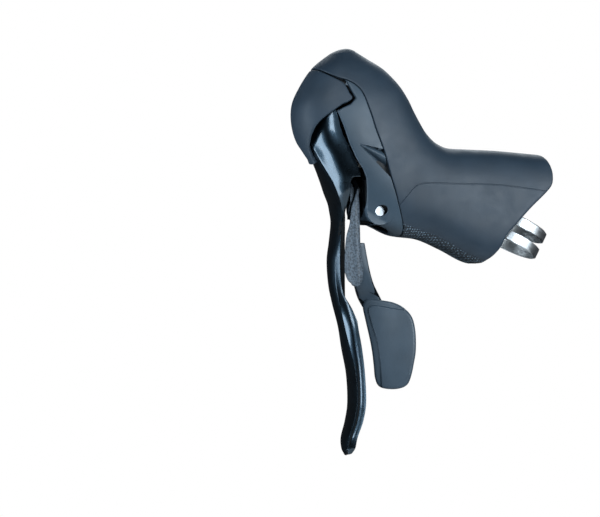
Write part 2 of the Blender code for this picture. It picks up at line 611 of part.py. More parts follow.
def make_pivot():
    """Pivot block, axle, bushes, springs, screws and the cable anchor."""
    cast = finish("anodised_casting", (0.03, 0.033, 0.036), 0.45, 1.0)
    bright = finish("bright_steel", STEEL, 0.2, 1.0)
    bronze = finish("bronze_bush", (0.55, 0.38, 0.18), 0.4, 1.0)
    outline = arc((PIVOT_X, PIVOT_Z), 5.6, 180, 330, 8)
    outline += BLOCK_OUTLINE
    carrier = add_part("pivot_block", prism_y(outline, -CARRIER_HALF, CARRIER_HALF), cast, PIVOT)
    lug = cutter("blade_lug", block((-78.2, -70.0), (2.4, 8.4), (13.4, 24.6)))
    combine(carrier, lug, "UNION")
    wing = cutter("pawl_wing", block((-63.6, -60.6), (5.0, 12.0), (24.0, 31.0)))
    combine(carrier, wing, "UNION")
    cut_by(carrier, pivot_rod("bush_bore", BUSH_RADIUS + GAP, -20, 20))
    cut_by(carrier, cutter("spindle_bore", rod((-75, 0, SPINDLE_Z), (-50, 0, SPINDLE_Z), 2.8, 16)))
    cut_by(carrier, cutter("anchor_slot", block((-59.6, -50), (-2.2, 2.2), (20.0, 35.0))))
    cut_by(carrier, cutter("anchor_bore", rod(anchor_at(-20), anchor_at(20), 2.4, 16)))
    cut_by(carrier, cutter("reach_bore", rod((-75, *REACH), (-50, *REACH), 1.8, 12)))
    cut_by(carrier, cutter("pawl_bore", rod((-66, *RELEASE_PIN), (-50, *RELEASE_PIN), PIN_BORE, 12)))
    for z in BLADE_BOLT_HEIGHTS:
        shank = rod((-82, BLADE_BOLT_Y, z), (-50, BLADE_BOLT_Y, z), 1.4, 12)
        cut_by(carrier, cutter("lug_bolt_hole", shank))
        head = rod((-71.4, BLADE_BOLT_Y, z), (-50, BLADE_BOLT_Y, z), 2.6, 14)
        cut_by(carrier, cutter("lug_counterbore", head))

    axle = rod((PIVOT_X, -AXLE_HALF_LENGTH, PIVOT_Z), (PIVOT_X, AXLE_HALF_LENGTH, PIVOT_Z),
               AXLE_RADIUS, 20)
    add_part("lever_axle", axle, bright)
    for name, side in (("axle_bush_inner", -1), ("axle_bush_outer", 1)):
        bush = ring_solid(PIVOT, (0, side, 0), BUSH_SECTION, 18)
        add_part(name, bush, bronze, PIVOT)
    grub = rod((-70.7, GRUB_Y, PIVOT_Z), (-67.9, GRUB_Y, PIVOT_Z), 1.05, 12)
    add_part("axle_grub_screw", grub, finish("black_screw", (0.05, 0.05, 0.05), 0.4, 1.0))

    anchor = add_part("brake_cable_anchor", rod(anchor_at(-6.2), anchor_at(6.2), 2.1, 16), bright,
                      anchor_at(0))
    eye = rod((-62, 0, ANCHOR[1]), (-50, 0, ANCHOR[1]), 0.9, 10)
    cut_by(anchor, cutter("cable_eye", eye))

    screw = turned((-73.0, *REACH), (1, 0, 0), REACH_SCREW, 14)
    add_part("reach_screw", screw, finish("reach_screw_steel", STEEL, 0.35, 1.0), PIVOT)
    pad = block((-54.3, -50.7), (-4.0, 4.0), (15.0, 21.0))
    add_part("stop_bumper", pad, finish("bumper_rubber", (0.02, 0.02, 0.02), 0.8, 0.0))


def helix(centre, radius, wire, turns, pitch, axis="Y", steps=14, sides=5):
    """Coil spring wire as one closed tube."""
    rings = []
    total = int(turns * steps)
    for i in range(total + 1):
        turn = math.tau * i / steps
        out = Vector((math.cos(turn), 0.0, math.sin(turn)))
        rise = Vector((0.0, pitch * i / steps, 0.0))
        ring = []
        for k in range(sides):
            lean = math.tau * k / sides
            offset = out * (radius + wire * math.cos(lean)) + Vector((0, wire * math.sin(lean), 0))
            point = rise + offset
            if axis == "X":
                point = Vector((point.y, point.x, point.z))
            ring.append(tuple(Vector(centre) + point))
        rings.append(ring)
    return loft(rings)


def plate_x(name, outline, x_low, x_high, material, origin):
    """Flat plate square to the spindle."""
    return add_part(name, prism_x(outline, x_low, x_high), material, origin)


def disc_outline(radius, steps=24):
    """Circle about the spindle in front view."""
    return arc((0.0, SPINDLE_Z), radius, 0, 360 - 360 / steps, steps - 1)


def bore_x(target, y, z, radius, sides=16):
    """Round hole along X right through a plate."""
    hole = rod((-110, y, z), (-40, y, z), radius, sides)
    cut_by(target, cutter(target.name + "_bore", hole))


def make_shift_unit():
    """Spindle, drum, ratchet, pawls and springs."""
    bright = finish("spindle_steel", STEEL, 0.25, 1.0)
    plated = finish("plated_plate", (0.5, 0.51, 0.52), 0.35, 1.0)
    acetal = finish("white_acetal", (0.7, 0.7, 0.66), 0.5, 0.0)
    spindle = turned((-58.4, 0, SPINDLE_Z), (-1, 0, 0), SPINDLE_PROFILE, 16)
    add_part("shift_spindle", spindle, bright, PIVOT)

    drum = ring_solid((0, 0, SPINDLE_Z), (-1, 0, 0), DRUM_SECTION, 28)
    add_part("cable_drum", drum, acetal, SPINDLE)

    teeth = []
    for i in range(RATCHET_TEETH):
        turn = 360 * i / RATCHET_TEETH
        teeth += arc((0.0, SPINDLE_Z), RATCHET_RADIUS, turn, turn + 2.0, 1)
        teeth += arc((0.0, SPINDLE_Z), RATCHET_RADIUS - TOOTH_DEPTH, turn + 4.0, turn + 5.0, 1)
    ratchet = plate_x("ratchet_wheel", teeth, -73.8, -72.2, plated, SPINDLE)
    bore_x(ratchet, 0, SPINDLE_Z, SPINDLE_BORE)

    nut = disc_outline(4.6, 6)
    spindle_nut = plate_x("spindle_nut", nut, -90.4, -86.9, bright, PIVOT)
    bore_x(spindle_nut, 0, SPINDLE_Z, SPINDLE_BORE)
    washer = ring_solid((0, 0, SPINDLE_Z), (-1, 0, 0), SPINDLE_WASHER)
    add_part("spindle_washer", washer, bright, PIVOT)

    tab = arc((0.0, SPINDLE_Z), 7.0, -160, -20, 8) + [(5.0, 44.0), (4.0, 56.4), (-4.0, 56.4), (-5.0, 44.0)]
    front_plate = plate_x("shift_front_plate", tab, -85.6, -84.0, plated, PIVOT)
    bore_x(front_plate, 0, SPINDLE_Z, SPINDLE_BORE)
    bore_x(front_plate, 0, CAP_SCREW_Z, 1.4, 12)
    screw = turned((-82.0, 0, CAP_SCREW_Z), (-1, 0, 0), CAP_SCREW, 14)
    add_part("cap_screw", screw, bright, PIVOT)

    coil = helix((-65.9, 0, SPINDLE_Z), 4.4, 0.35, 2, 0.9, "X")
    add_part("drum_spring", coil, bright, SPINDLE)
    coil = helix((-83.2, 0, SPINDLE_Z), 4.8, 0.3, 2, 0.75, "X")
    add_part("shift_return_spring", coil, bright, SPINDLE)
    coil = helix((PIVOT_X, 6.9, PIVOT_Z), 4.7, 0.3, 2, 0.75)
    add_part("lever_return_spring", coil, bright, PIVOT)


def pawl_outline(pin, tip, eye):
    """Front-view outline of a pawl: round eye about its pin, tapering to its tip."""
    pin = Vector(pin)
    tip = Vector(tip)
    lean = math.degrees(math.atan2(tip.y - pin.y, tip.x - pin.x))
    return arc(tuple(pin), eye, lean + 60, lean + 300, 10) + [tuple(tip)]


def tooth_tip(turn):
    """Point just clear of the ratchet's tooth tips."""
    reach = RATCHET_RADIUS + 0.3
    return (reach * math.cos(math.radians(turn)), SPINDLE_Z + reach * math.sin(math.radians(turn)))


def make_pawls():
    """Drive pawl on the large lever and release pawl on the pivot block, with their pins."""
    hard = finish("hardened_steel", (0.3, 0.3, 0.31), 0.35, 1.0)
    for name, pin, turn, pin_x in (
        ("drive_pawl", DRIVE_PIN, 100.0, (-78.0, -72.1)),
        ("release_pawl", RELEASE_PIN, -82.0, (-74.2, -60.3)),
    ):
        y, z = pin
        pawl = plate_x(name, pawl_outline(pin, tooth_tip(turn), 2.2), -73.8, -72.3, hard,
                       (-73.0, y, z))
        bore_x(pawl, y, z, PIN_BORE, 12)
        add_part(name + "_pin", rod((pin_x[0], y, z), (pin_x[1], y, z), 1.0, 12), hard)


def arm_solid(sections):
    """Lofted arm: each section is (z, centre x, centre y, half x, half y, turn in degrees)."""
    rings = []
    for z, cx, cy, half_x, half_y, turn in sections:
        c = math.cos(math.radians(turn))
        s = math.sin(math.radians(turn))
        ring = []
        for i, j in ((-1, -1), (1, -1), (1, 1), (-1, 1)):
            dx = half_x * i
            dy = half_y * j
            ring.append((cx + dx * c - dy * s, cy + dx * s + dy * c, z))
        rings.append(ring)
    return loft(rings)


def make_downshift_lever():
    """Large inner lever: steel arm, moulded pad and its screw."""
    steel = finish("black_plated_arm", (0.05, 0.06, 0.07), 0.35, 0.6)
    moulded = finish("pad_plastic", (0.055, 0.075, 0.09), 0.5, 0.0)
    hub = arc((0.0, SPINDLE_Z), 6.4, 20, 95, 5)
    hub += arc(DRIVE_PIN, 2.6, 70, 250, 6)
    hub += arc((0.0, SPINDLE_Z), 6.4, 190, 215, 2)
    hub += [(-6.4, 25.6), (-2.6, 25.6), (1.4, 31.4)]
    arm = plate_x("downshift_arm", hub, -77.5, -75.3, steel, SPINDLE)
    combine(arm, cutter("downshift_stem", arm_solid(DOWNSHIFT_STEM)), "UNION")
    bore_x(arm, 0, SPINDLE_Z, SPINDLE_BORE)
    bore_x(arm, *DRIVE_PIN, PIN_BORE, 12)

    rings = []
    middle = sum(z for _, z in PAD_OUTLINE) / len(PAD_OUTLINE)
    for rise, shrink in ((-2.3, 0.95), (-1.6, 1.0), (1.0, 1.0), (2.0, 0.94), (2.4, 0.84)):
        ring = []
        for s, z in PAD_OUTLINE:
            ring.append(pad_point(s * shrink, middle + (z - middle) * shrink, rise))
        rings.append(ring)
    pad = add_part("downshift_pad", loft(rings), moulded, SPINDLE)
    hole = rod(pad_point(*PAD_SCREW, -5.5), pad_point(*PAD_SCREW, 1.0), SCREW_BORE, 12)
    cut_by(pad, cutter("pad_screw_bore", hole))
    hole = rod(pad_point(*PAD_SCREW, -9), pad_point(*PAD_SCREW, 0), SCREW_BORE, 12)
    cut_by(arm, cutter("pad_screw_hole", hole))
    screw = turned(pad_point(*PAD_SCREW, -6.6), PAD_FACE, PAD_SCREW_PROFILE, 12)
    add_part("pad_screw", screw, steel)


def pad_point(across, z, out):
    """Point on the pad: across its face, at a height, and out of its face."""
    return tuple(Vector((*PAD_CENTRE, z)) + PAD_ACROSS * across + PAD_FACE * out)


def make_upshift_lever():
    """Small front lever: steel arm, grained cover and its rivet."""
    steel = finish("black_steel_arm", (0.04, 0.05, 0.06), 0.35, 0.6)
    grained = finish("grained_plastic", (0.09, 0.115, 0.135), 0.7, 0.0)
    hub = arc((0.0, SPINDLE_Z), 6.4, -60, 215, 16)
    hub += [(-6.4, 24.5), (-2.8, 24.5)]
    arm = plate_x("upshift_arm", hub, -80.5, -78.3, steel, SPINDLE)
    bore_x(arm, 0, SPINDLE_Z, SPINDLE_BORE)
    combine(arm, cutter("upshift_stem", arm_solid(UPSHIFT_STEM)), "UNION")
    cut_by(arm, cutter("upshift_arm_hole", rod(rivet_at(-12), rivet_at(0), RIVET_BORE, 10)))

    rings = []
    for z, front, ridge, rear in UPSHIFT_SECTIONS:
        f, r, b = Vector((*front, z)), Vector((*ridge, z)), Vector((*rear, z))
        inner = [b + Vector((-0.2, 1.7, 0)), r + Vector((0.7, 1.9, 0)), f + Vector((1.3, 0.7, 0))]
        rings.append([tuple(p) for p in (f, (f + r) / 2, r, (r + b) / 2, b, *inner)])
    cover = add_part("upshift_cover", loft(rings), grained, SPINDLE)
    hole = rod(rivet_at(-9.4), rivet_at(0), RIVET_BORE, 10)
    cut_by(cover, cutter("rivet_hole", hole))
    add_part("upshift_rivet", rod(rivet_at(-9.1), rivet_at(-4.3), 0.4, 10), steel)


def make_screws():
    """Side cover screws and blade bolts."""
    black = finish("black_oxide_screw", (0.05, 0.05, 0.055), 0.4, 1.0)
    for name, side in (("cover_screw_inner", -1), ("cover_screw_outer", 1)):
        add_part(name, turned(cover_screw_at(12.3 * side), (0, side, 0), SMALL_SCREW, 12), black)
    for name, z in zip(("blade_bolt_lower", "blade_bolt_upper"), BLADE_BOLT_HEIGHTS):
        add_part(name, turned((-69.6, BLADE_BOLT_Y, z), (-1, 0, 0), BLADE_BOLT, 12), black)


def main():
    """Build every piece in its place."""
    reset_scene()
    make_bracket()
    make_hood()
    make_side_covers()
    make_clamp()
    make_cap()
    make_blade()
    make_pivot()
    make_shift_unit()
    make_pawls()
    make_downshift_lever()
    make_upshift_lever()
    make_screws()


main()
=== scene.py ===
"""Brake and shift lever: the finished look of every piece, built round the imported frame.

Outlines are in millimetres in side view, as (x, z), with the blade towards -x and the handlebar behind.
A field is a function that gives every point one number. A skin is split along lines where a field has a
given value and keeps the side where the field is positive.
"""

import json
import math
from types import SimpleNamespace

import bmesh
import bpy
import numpy as np
from bpy.props import FloatProperty, FloatVectorProperty, PointerProperty
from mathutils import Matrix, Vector


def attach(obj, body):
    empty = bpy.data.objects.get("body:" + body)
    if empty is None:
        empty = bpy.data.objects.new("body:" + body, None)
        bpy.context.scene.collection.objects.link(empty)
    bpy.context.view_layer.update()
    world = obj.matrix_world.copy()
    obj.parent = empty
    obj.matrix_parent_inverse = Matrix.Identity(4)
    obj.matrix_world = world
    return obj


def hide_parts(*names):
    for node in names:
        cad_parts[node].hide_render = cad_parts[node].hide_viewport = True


bl_info = {
    "name": "Brake Shift Lever",
    "version": (1, 0, 0),
    "blender": (4, 5, 0),
    "location": "View3D > Sidebar > Shift Lever",
    "description": "Builds the shells, blade, paddles and clamp of a drop-bar brake and shift lever",
    "category": "Object",
}

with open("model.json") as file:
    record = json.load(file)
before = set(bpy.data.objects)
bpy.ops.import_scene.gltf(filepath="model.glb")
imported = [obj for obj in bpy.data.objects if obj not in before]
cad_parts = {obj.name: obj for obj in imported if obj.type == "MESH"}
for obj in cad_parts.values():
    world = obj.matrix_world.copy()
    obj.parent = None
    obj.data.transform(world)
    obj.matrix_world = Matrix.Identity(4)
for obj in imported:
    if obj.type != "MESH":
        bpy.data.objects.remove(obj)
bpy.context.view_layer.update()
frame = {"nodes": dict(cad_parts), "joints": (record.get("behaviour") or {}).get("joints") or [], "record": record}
JOINTS = {joint["name"]: joint for joint in frame["joints"]}

MM = 0.001
PIVOT = Vector(JOINTS["brake_pull"]["pos_m"]) / MM
PIVOT_SPOT = (PIVOT.x, PIVOT.z)
BAR_AXIS = Vector(frame["record"]["mounts"][0]["axis"]).normalized()
BAR_FRONT = Vector((-BAR_AXIS.z, 0.0, BAR_AXIS.x))

# Body stations from grip to pommel: upper point, lower point, half width, squareness of the section
BODY_STATIONS = [
    ((22.0, 32.5), (4.0, -14.0), 18.0, 3.4),
    ((8.0, 33.8), (-9.0, -13.4), 17.8, 3.3),
    ((-8.0, 35.2), (-20.0, -13.2), 16.8, 3.1),
    ((-21.0, 35.8), (-32.0, -7.6), 16.2, 2.9),
    ((-31.0, 36.4), (-43.0, -3.2), 16.8, 2.7),
    ((-36.5, 38.6), (-56.0, -1.4), 18.2, 2.6),
    ((-39.5, 41.0), (-66.5, 3.0), 19.4, 2.5),
    ((-42.0, 44.0), (-77.0, 10.0), 20.0, 2.4),
    ((-44.5, 48.0), (-86.0, 20.0), 20.5, 2.4),
    ((-47.0, 52.5), (-94.0, 32.0), 20.5, 2.4),
    ((-49.8, 58.0), (-99.0, 43.0), 20.0, 2.4),
    ((-54.0, 64.0), (-99.8, 53.5), 18.6, 2.4),
    ((-60.5, 70.3), (-96.4, 62.0), 15.6, 2.4),
    ((-67.5, 74.6), (-90.6, 70.6), 11.2, 2.4),
    ((-72.5, 77.8), (-83.0, 76.8), 5.6, 2.4),
]
BODY_POLE = (-77.0, 79.0)
BODY_PARTS = 14  # rings between two stations
BODY_SIDES = 176  # points round one ring
POLE_RINGS = (0.82, 0.62, 0.42, 0.22, 0.08)  # size of each ring of the crown, as a share of the last station

# Seam of the hood against covers and cap, from above the pommel down to the chin
HOOD_SEAM = [
    (-96.0, 75.4), (-93.5, 72.8), (-90.8, 70.4), (-88.2, 68.5), (-84.5, 66.7), (-81.5, 65.8), (-79.0, 64.5),
    (-77.0, 62.9), (-75.5, 61.0), (-74.2, 58.2), (-72.7, 53.8), (-71.3, 49.5), (-69.6, 44.1), (-66.1, 35.0),
    (-62.9, 24.7), (-60.2, 17.2), (-58.0, 11.0), (-55.1, 3.7), (-52.9, -2.5), (-51.0, -9.0),
]
# Rear mouth of the hood, from above the grip round the bar to below it
MOUTH = [
    (10.8, 46.0), (11.2, 35.0), (12.2, 31.4), (12.9, 28.0), (13.0, 24.4), (12.2, 20.6), (9.2, 17.0),
    (2.4, 10.6), (-4.0, 3.8), (-8.6, -1.6), (-10.6, -6.4), (-13.0, -10.2), (-16.4, -14.2), (-17.0, -20.0),
]
BAR_RADIUS = 12.0
BAR_BEND_RADIUS = 55.0
BAR_CLEARANCE = 1.0  # between the bar and the hood's rear mouth
# Parting line drawn along each side of the grip
HOOD_LINE = [
    (-59.0, 10.9), (-56.6, 14.0), (-53.8, 17.4), (-51.2, 20.0), (-48.2, 21.0), (-44.0, 21.3), (-36.0, 21.1),
    (-27.0, 20.9), (-14.0, 20.6), (-4.0, 19.6), (6.0, 18.2), (13.0, 17.0),
]
# Knurled part of the hood's underside, closed outline
KNURL = [
    (-56.0, 4.2), (-60.0, -30.0), (-14.0, -30.0), (-15.5, -12.6), (-20.0, -10.8), (-26.0, -8.2),
    (-32.0, -4.6), (-39.0, -1.4), (-47.0, 1.2),
]
KNURL_FADE = 0.6  # the knurl runs out over this far on each side of its outline
# Chin of the side cover, an arc about the brake pivot
CHIN_RADIUS = 6.6
CHIN_ARC = [
    (PIVOT.x + CHIN_RADIUS * math.cos(math.radians(a)), PIVOT.z + CHIN_RADIUS * math.sin(math.radians(a)))
    for a in range(182, 284, 6)
]
# Side cover outline, closed: tongue, front edge and chin. Its rear edge is cut by the hood's seam.
COVER_SHAPE = [
    (-85.0, 67.8), (-82.0, 65.6), (-80.9, 62.7), (-79.8, 60.2), (-78.5, 57.8), (-81.0, 55.2), (-84.1, 53.9),
    (-86.8, 52.2), (-85.7, 49.4), (-84.4, 46.2), (-81.7, 38.5), (-78.6, 32.0), (-75.2, 26.9), (-73.7, 23.4),
    (-72.9, 18.3), (-72.2, 12.6), *CHIN_ARC, (-60.8, 1.0), (-58.0, -0.8), (-54.0, -3.4), (-50.0, -8.0),
    (-40.0, 30.0), (-60.0, 70.0),
]
COVER_MIDDLE = 0.3  # each cover begins this far from the middle plane
BOSS_SLOPE = 0.6  # width of the flat boss's side
BOSS_SOFTNESS = 0.8  # square of the rounding where the boss meets the cover
BOSS_REACH = 4.0  # points standing further than this above the boss face stay where they are
# Recess over the cable entry in each cover: point, lower rear corner, upper rear corner. The mesh is split
# along straight lines across it, so that the cone in it comes out round.
RECESS = [(-78.3, 38.4), (-62.4, 23.0), (-65.8, 35.6)]
RECESS_X_LINES = np.arange(-78.8, -62.0, 0.45)
RECESS_Z_LINES = np.arange(23.0, 38.8, 0.5)
RECESS_LINES = (0.0, 0.25, 0.5)  # lines of points at these distances in from its edge
RECESS_WALL = 0.35  # run of the recess's steep side
# Cone in the recess: where it starts and how wide it is across, height as a share of the depth, fullness
CONE_START, CONE_WIDTH, CONE_HEIGHT, CONE_FULLNESS = 0.1, 0.66, 0.92, 0.8
# Edge of the head cap: rear edge from above the pommel, tip, lower edge and front tongue
CAP_EDGE = [
    (-97.0, 75.0), (-93.9, 72.6), (-91.3, 70.2), (-88.8, 68.1), (-85.2, 66.0), (-83.1, 64.5), (-82.0, 62.6),
    (-81.0, 60.1), (-79.9, 58.0), (-81.8, 56.3), (-84.6, 55.1), (-87.5, 53.0), (-90.0, 51.2), (-92.6, 49.0),
    (-94.6, 46.5), (-95.8, 43.4), (-96.2, 40.2), (-95.7, 36.3), (-94.5, 33.4), (-93.3, 31.0), (-92.1, 28.9),
    (-94.2, 27.9), (-98.0, 27.2), (-120.0, 20.0),
]
# Blade: height, centre y, front x, rear x, half width, share of the half width at the crease
BLADE_STATIONS = [
    (56.0, 0.0, -94.4, -86.6, 12.8, 0.3), (49.5, 0.0, -95.0, -84.9, 13.8, 0.3),
    (44.0, 0.0, -95.6, -83.8, 14.6, 0.3), (38.0, 0.0, -94.6, -81.0, 15.2, 0.31),
    (32.0, 0.2, -91.6, -77.9, 15.5, 0.34),
    (26.0, 0.6, -88.4, -75.2, 15.4, 0.44), (21.0, 1.6, -85.6, -74.4, 14.4, 0.57),
    (17.0, 2.4, -83.6, -74.4, 13.0, 0.68), (12.5, 3.8, -81.2, -74.0, 10.9, 0.79),
    (9.0, 4.8, -80.4, -72.8, 9.4, 0.85), (4.0, 5.5, -79.8, -72.2, 8.3, 0.86),
    (-4.0, 5.6, -80.9, -72.4, 7.8, 0.84), (-12.0, 5.3, -82.3, -72.6, 7.5, 0.78),
    (-22.0, 4.5, -82.0, -73.0, 7.3, 0.72), (-30.0, 3.8, -80.5, -73.0, 7.6, 0.64),
    (-40.0, 3.0, -78.0, -72.6, 8.2, 0.52), (-50.0, 2.3, -76.2, -71.0, 8.2, 0.66),
    (-61.0, 1.0, -74.2, -70.0, 7.9, 0.78), (-73.0, -0.6, -74.2, -70.0, 7.7, 0.8),
    (-81.0, -1.8, -75.9, -71.7, 7.6, 0.78), (-88.0, -3.0, -78.4, -74.4, 6.8, 0.76),
    (-92.6, -3.6, -78.8, -75.2, 5.5, 0.7), (-94.7, -3.8, -78.2, -76.0, 3.8, 0.6),
]
# Half section of the blade, rear rim to crease and crease to nose: share across, share of depth
SECTION_SIDE = [(1.0, 0.0), (0.94, 0.28), (0.82, 0.54), (0.6, 0.745), (0.31, 0.93)]
SECTION_FRONT = [(0.31, 0.93), (0.2, 0.972), (0.1, 0.992), (0.0, 1.0)]
CREASE_DROP = 0.13  # how much a crease further out lies further back
# Rounded tip of the blade: size of each closing ring, and height of the dome
TIP_RINGS = (0.85, 0.6, 0.3, 0.04)
TIP_DOME = 0.9
# Rear edge of the blade's inner wall, tip to top (x, z)
BLADE_TRIM = [
    (-60.0, -120.0), (-60.0, -70.0), (-70.0, -44.5), (-72.2, -39.6), (-73.6, -35.8), (-74.9, -32.6),
    (-76.2, -30.2), (-77.6, -27.8), (-78.8, -24.0), (-79.1, -16.0), (-78.9, -6.0), (-78.6, 1.0), (-78.0, 6.0),
    (-77.9, 12.0), (-77.9, 19.0), (-78.3, 22.6), (-76.0, 23.9), (-60.0, 24.2), (-60.0, 40.0), (-60.0, 60.0),
]
# Large paddle's pad: middle (x, y), the directions across it and out of its face
PAD_CENTRE = (-58.5, -7.7)
PAD_ACROSS = (0.923, -0.385, 0.0)
PAD_FACE = (-0.385, -0.923, 0.0)
PAD_GRID = ((-13.2, -69.0), (12.0, -28.0), 0.6)  # lower corner, upper corner and step of its mesh
PAD_FRONT, PAD_BACK = 1.75, -1.9
PAD_TOP = (1.0, -46.0)  # where the pad is fullest (across, height)
PAD_CROWN = (0.012, 0.0022)  # how fast it falls away across and in height
FIELD_SLOPE = (-0.35, 0.2)  # the side of the raised field, from its foot to its top
# Outline of the pad and of the raised field inside its border (across, height), both closed
PAD_OUTLINE = [
    (-12.2, -32.2), (-11.6, -30.0), (-9.6, -28.6), (-3.7, -29.2), (1.6, -30.3), (5.9, -32.7), (9.1, -36.6),
    (10.5, -42.5), (10.7, -50.5), (9.9, -56.0), (8.6, -62.0), (6.8, -65.7), (3.0, -67.3), (-2.0, -67.3),
    (-5.4, -66.0), (-6.9, -62.5), (-7.4, -57.5), (-8.1, -51.5), (-9.1, -46.0), (-11.0, -37.8),
]
PAD_FIELD = [
    (-9.5, -34.2), (-9.2, -32.4), (-7.6, -31.5), (-3.7, -31.9), (0.5, -32.7), (4.3, -33.3), (8.6, -34.0),
    (14.0, -38.0), (14.0, -62.0), (9.0, -72.0), (-1.0, -72.0), (-3.6, -68.5), (-4.0, -62.0), (-4.3, -57.0),
    (-4.9, -52.0), (-5.5, -48.0), (-6.6, -44.0), (-8.1, -39.2),
]
# Large paddle's neck: height, centre x, centre y, half x, half y, turn in degrees
NECK = [
    (-4.9, -73.1, -5.3, 3.3, 1.5, -5), (-10.0, -72.4, -4.9, 3.7, 1.5, -7),
    (-16.0, -71.4, -4.3, 4.15, 1.5, -10), (-22.0, -69.3, -2.9, 4.35, 1.4, -14),
    (-28.0, -66.1, -0.9, 4.95, 1.3, -20), (-33.0, -63.4, -1.3, 4.9, 1.2, -22),
]
NECK_SIDES = 40
NECK_POWERS = (0.5, 0.62)  # squareness of the neck's section, along x and along y
# Rounded upper end of the neck: size and rise of each closing ring
NECK_END = ((0.3, 0.45), (0.86, 0.42), (0.95, 0.28))
# Small lever's cover: height, front edge, ridge and rear edge (x, y)
UPSHIFT_SECTIONS = [
    (18.0, (-74.5, -8.3), (-74.0, -8.8), (-73.5, -8.7)),
    (14.5, (-75.6, -8.3), (-74.8, -9.5), (-73.4, -9.2)),
    (11.0, (-76.9, -8.3), (-75.6, -10.2), (-73.3, -9.5)),
    (7.0, (-77.4, -8.0), (-75.6, -10.4), (-73.2, -9.4)),
    (3.0, (-77.8, -7.4), (-75.5, -10.6), (-73.0, -9.2)),
    (-1.0, (-78.6, -6.3), (-75.5, -10.7), (-72.8, -9.0)),
    (-6.0, (-79.0, -5.6), (-75.3, -10.8), (-72.6, -8.9)),
    (-12.0, (-79.0, -4.9), (-75.0, -10.8), (-71.6, -8.5)),
    (-17.0, (-78.8, -4.6), (-74.7, -10.6), (-71.0, -8.3)),
    (-20.5, (-77.8, -5.4), (-74.5, -9.9), (-71.6, -8.4)),
    (-21.9, (-76.6, -6.5), (-74.4, -9.2), (-72.4, -8.4)),
]
# Its thickness behind the rear edge, the ridge and the front edge (x, y)
UPSHIFT_BACKS = ((-0.2, 1.7), (0.7, 1.9), (1.3, 0.7))
UPSHIFT_ENDS = (0.93, 0.78, 0.55, 0.25)  # size of each closing ring at either end
UPSHIFT_DOMES = (0.6, 1.4)  # height of the upper and the lower end's dome
CORNER_CUT = 0.2  # share of a side that one round of corner rounding cuts off
# Clamp band: where its mesh has a line across its width
BAND_HALF = 6.0
BAND_LINES = [-6.0, -5.85, -5.6, -5.2, *np.linspace(-4.4, 4.4, 13), 5.2, 5.6, 5.85, 6.0]
BAND_SIDES = 144
SLOT_START = math.radians(70.0)  # where the band's slot begins, from its front
# Profile of the band's threaded lug: distance from the bar's axis, radius
LUG_SIDES = 48
LUG_PROFILE = [(13.2, 5.4), (16.8, 5.4), (17.25, 5.2), (17.4, 4.9), (17.4, 2.95), (17.1, 2.7), (13.6, 2.7),
               (13.2, 3.0)]
# Floor disc in metres: radius and drop of each ring, x of its middle
FLOOR_SIDES = 96
FLOOR_PROFILE = [(0.02, 0.0), (0.12, 0.0), (0.28, 0.0), (0.296, 0.0004), (0.3, 0.0)]
FLOOR_MIDDLE = -0.045
FAR = 50.0  # the camera sees this many metres
# Lamps: bearing from the camera and height in degrees, distance, width and height in metres, tint
LAMPS = {
    "key": (42.0, 5.0, 1.2, (0.4, 0.5), "cool"),
    "kicker": (75.0, 5.0, 1.2, (0.4, 0.7), "cool"),
    "fill": (0.0, 38.0, 1.2, (0.6, 0.4), "cool"),
    "front": (-4.0, 10.0, 1.3, (0.4, 0.3), "blue"),
    "side": (-78.0, -15.0, 0.9, (0.3, 1.4), "blue"),
    "back": (175.0, 30.0, 1.2, (0.8, 0.6), "cool"),
}

# Tolerances in millimetres, and the least length to divide by
ON_LINE = 1e-4
SAME = 1e-9
TINY = 1e-12
LIP_LINES = (0.08, 0.3, 0.62, 1.0)  # where a rounded edge has a line of points, as a share of its radius


def to_linear(colour):
    """Scene-linear colour from sRGB hex."""
    parts = [int(colour[i:i + 2], 16) / 255 for i in (1, 3, 5)]
    return tuple(p / 12.92 if p <= 0.04045 else ((p + 0.055) / 1.055) ** 2.4 for p in parts)


def millimetres(name, note, size, most=10.0):
    """Setting for a length: given here in millimetres, kept in metres."""
    return FloatProperty(name=name, description=note, default=size * MM, min=0.0, soft_max=most * MM,
                         precision=5, unit="LENGTH")


def coordinate(name, note, size):
    """Setting for a coordinate: given here in millimetres, kept in metres."""
    return FloatProperty(name=name, description=note, default=size * MM, precision=5, unit="LENGTH")


def lamp_power(name, note, watts):
    """Setting for a lamp's power."""
    return FloatProperty(name=name, description=note, default=watts, min=0.0, unit="POWER")


def tint(name, note, colour):
    """Setting for a colour: given here as sRGB hex or as linear parts, kept linear."""
    linear = to_linear(colour) if isinstance(colour, str) else colour
    return FloatVectorProperty(name=name, description=note, default=linear, min=0.0, max=1.0, subtype="COLOR")


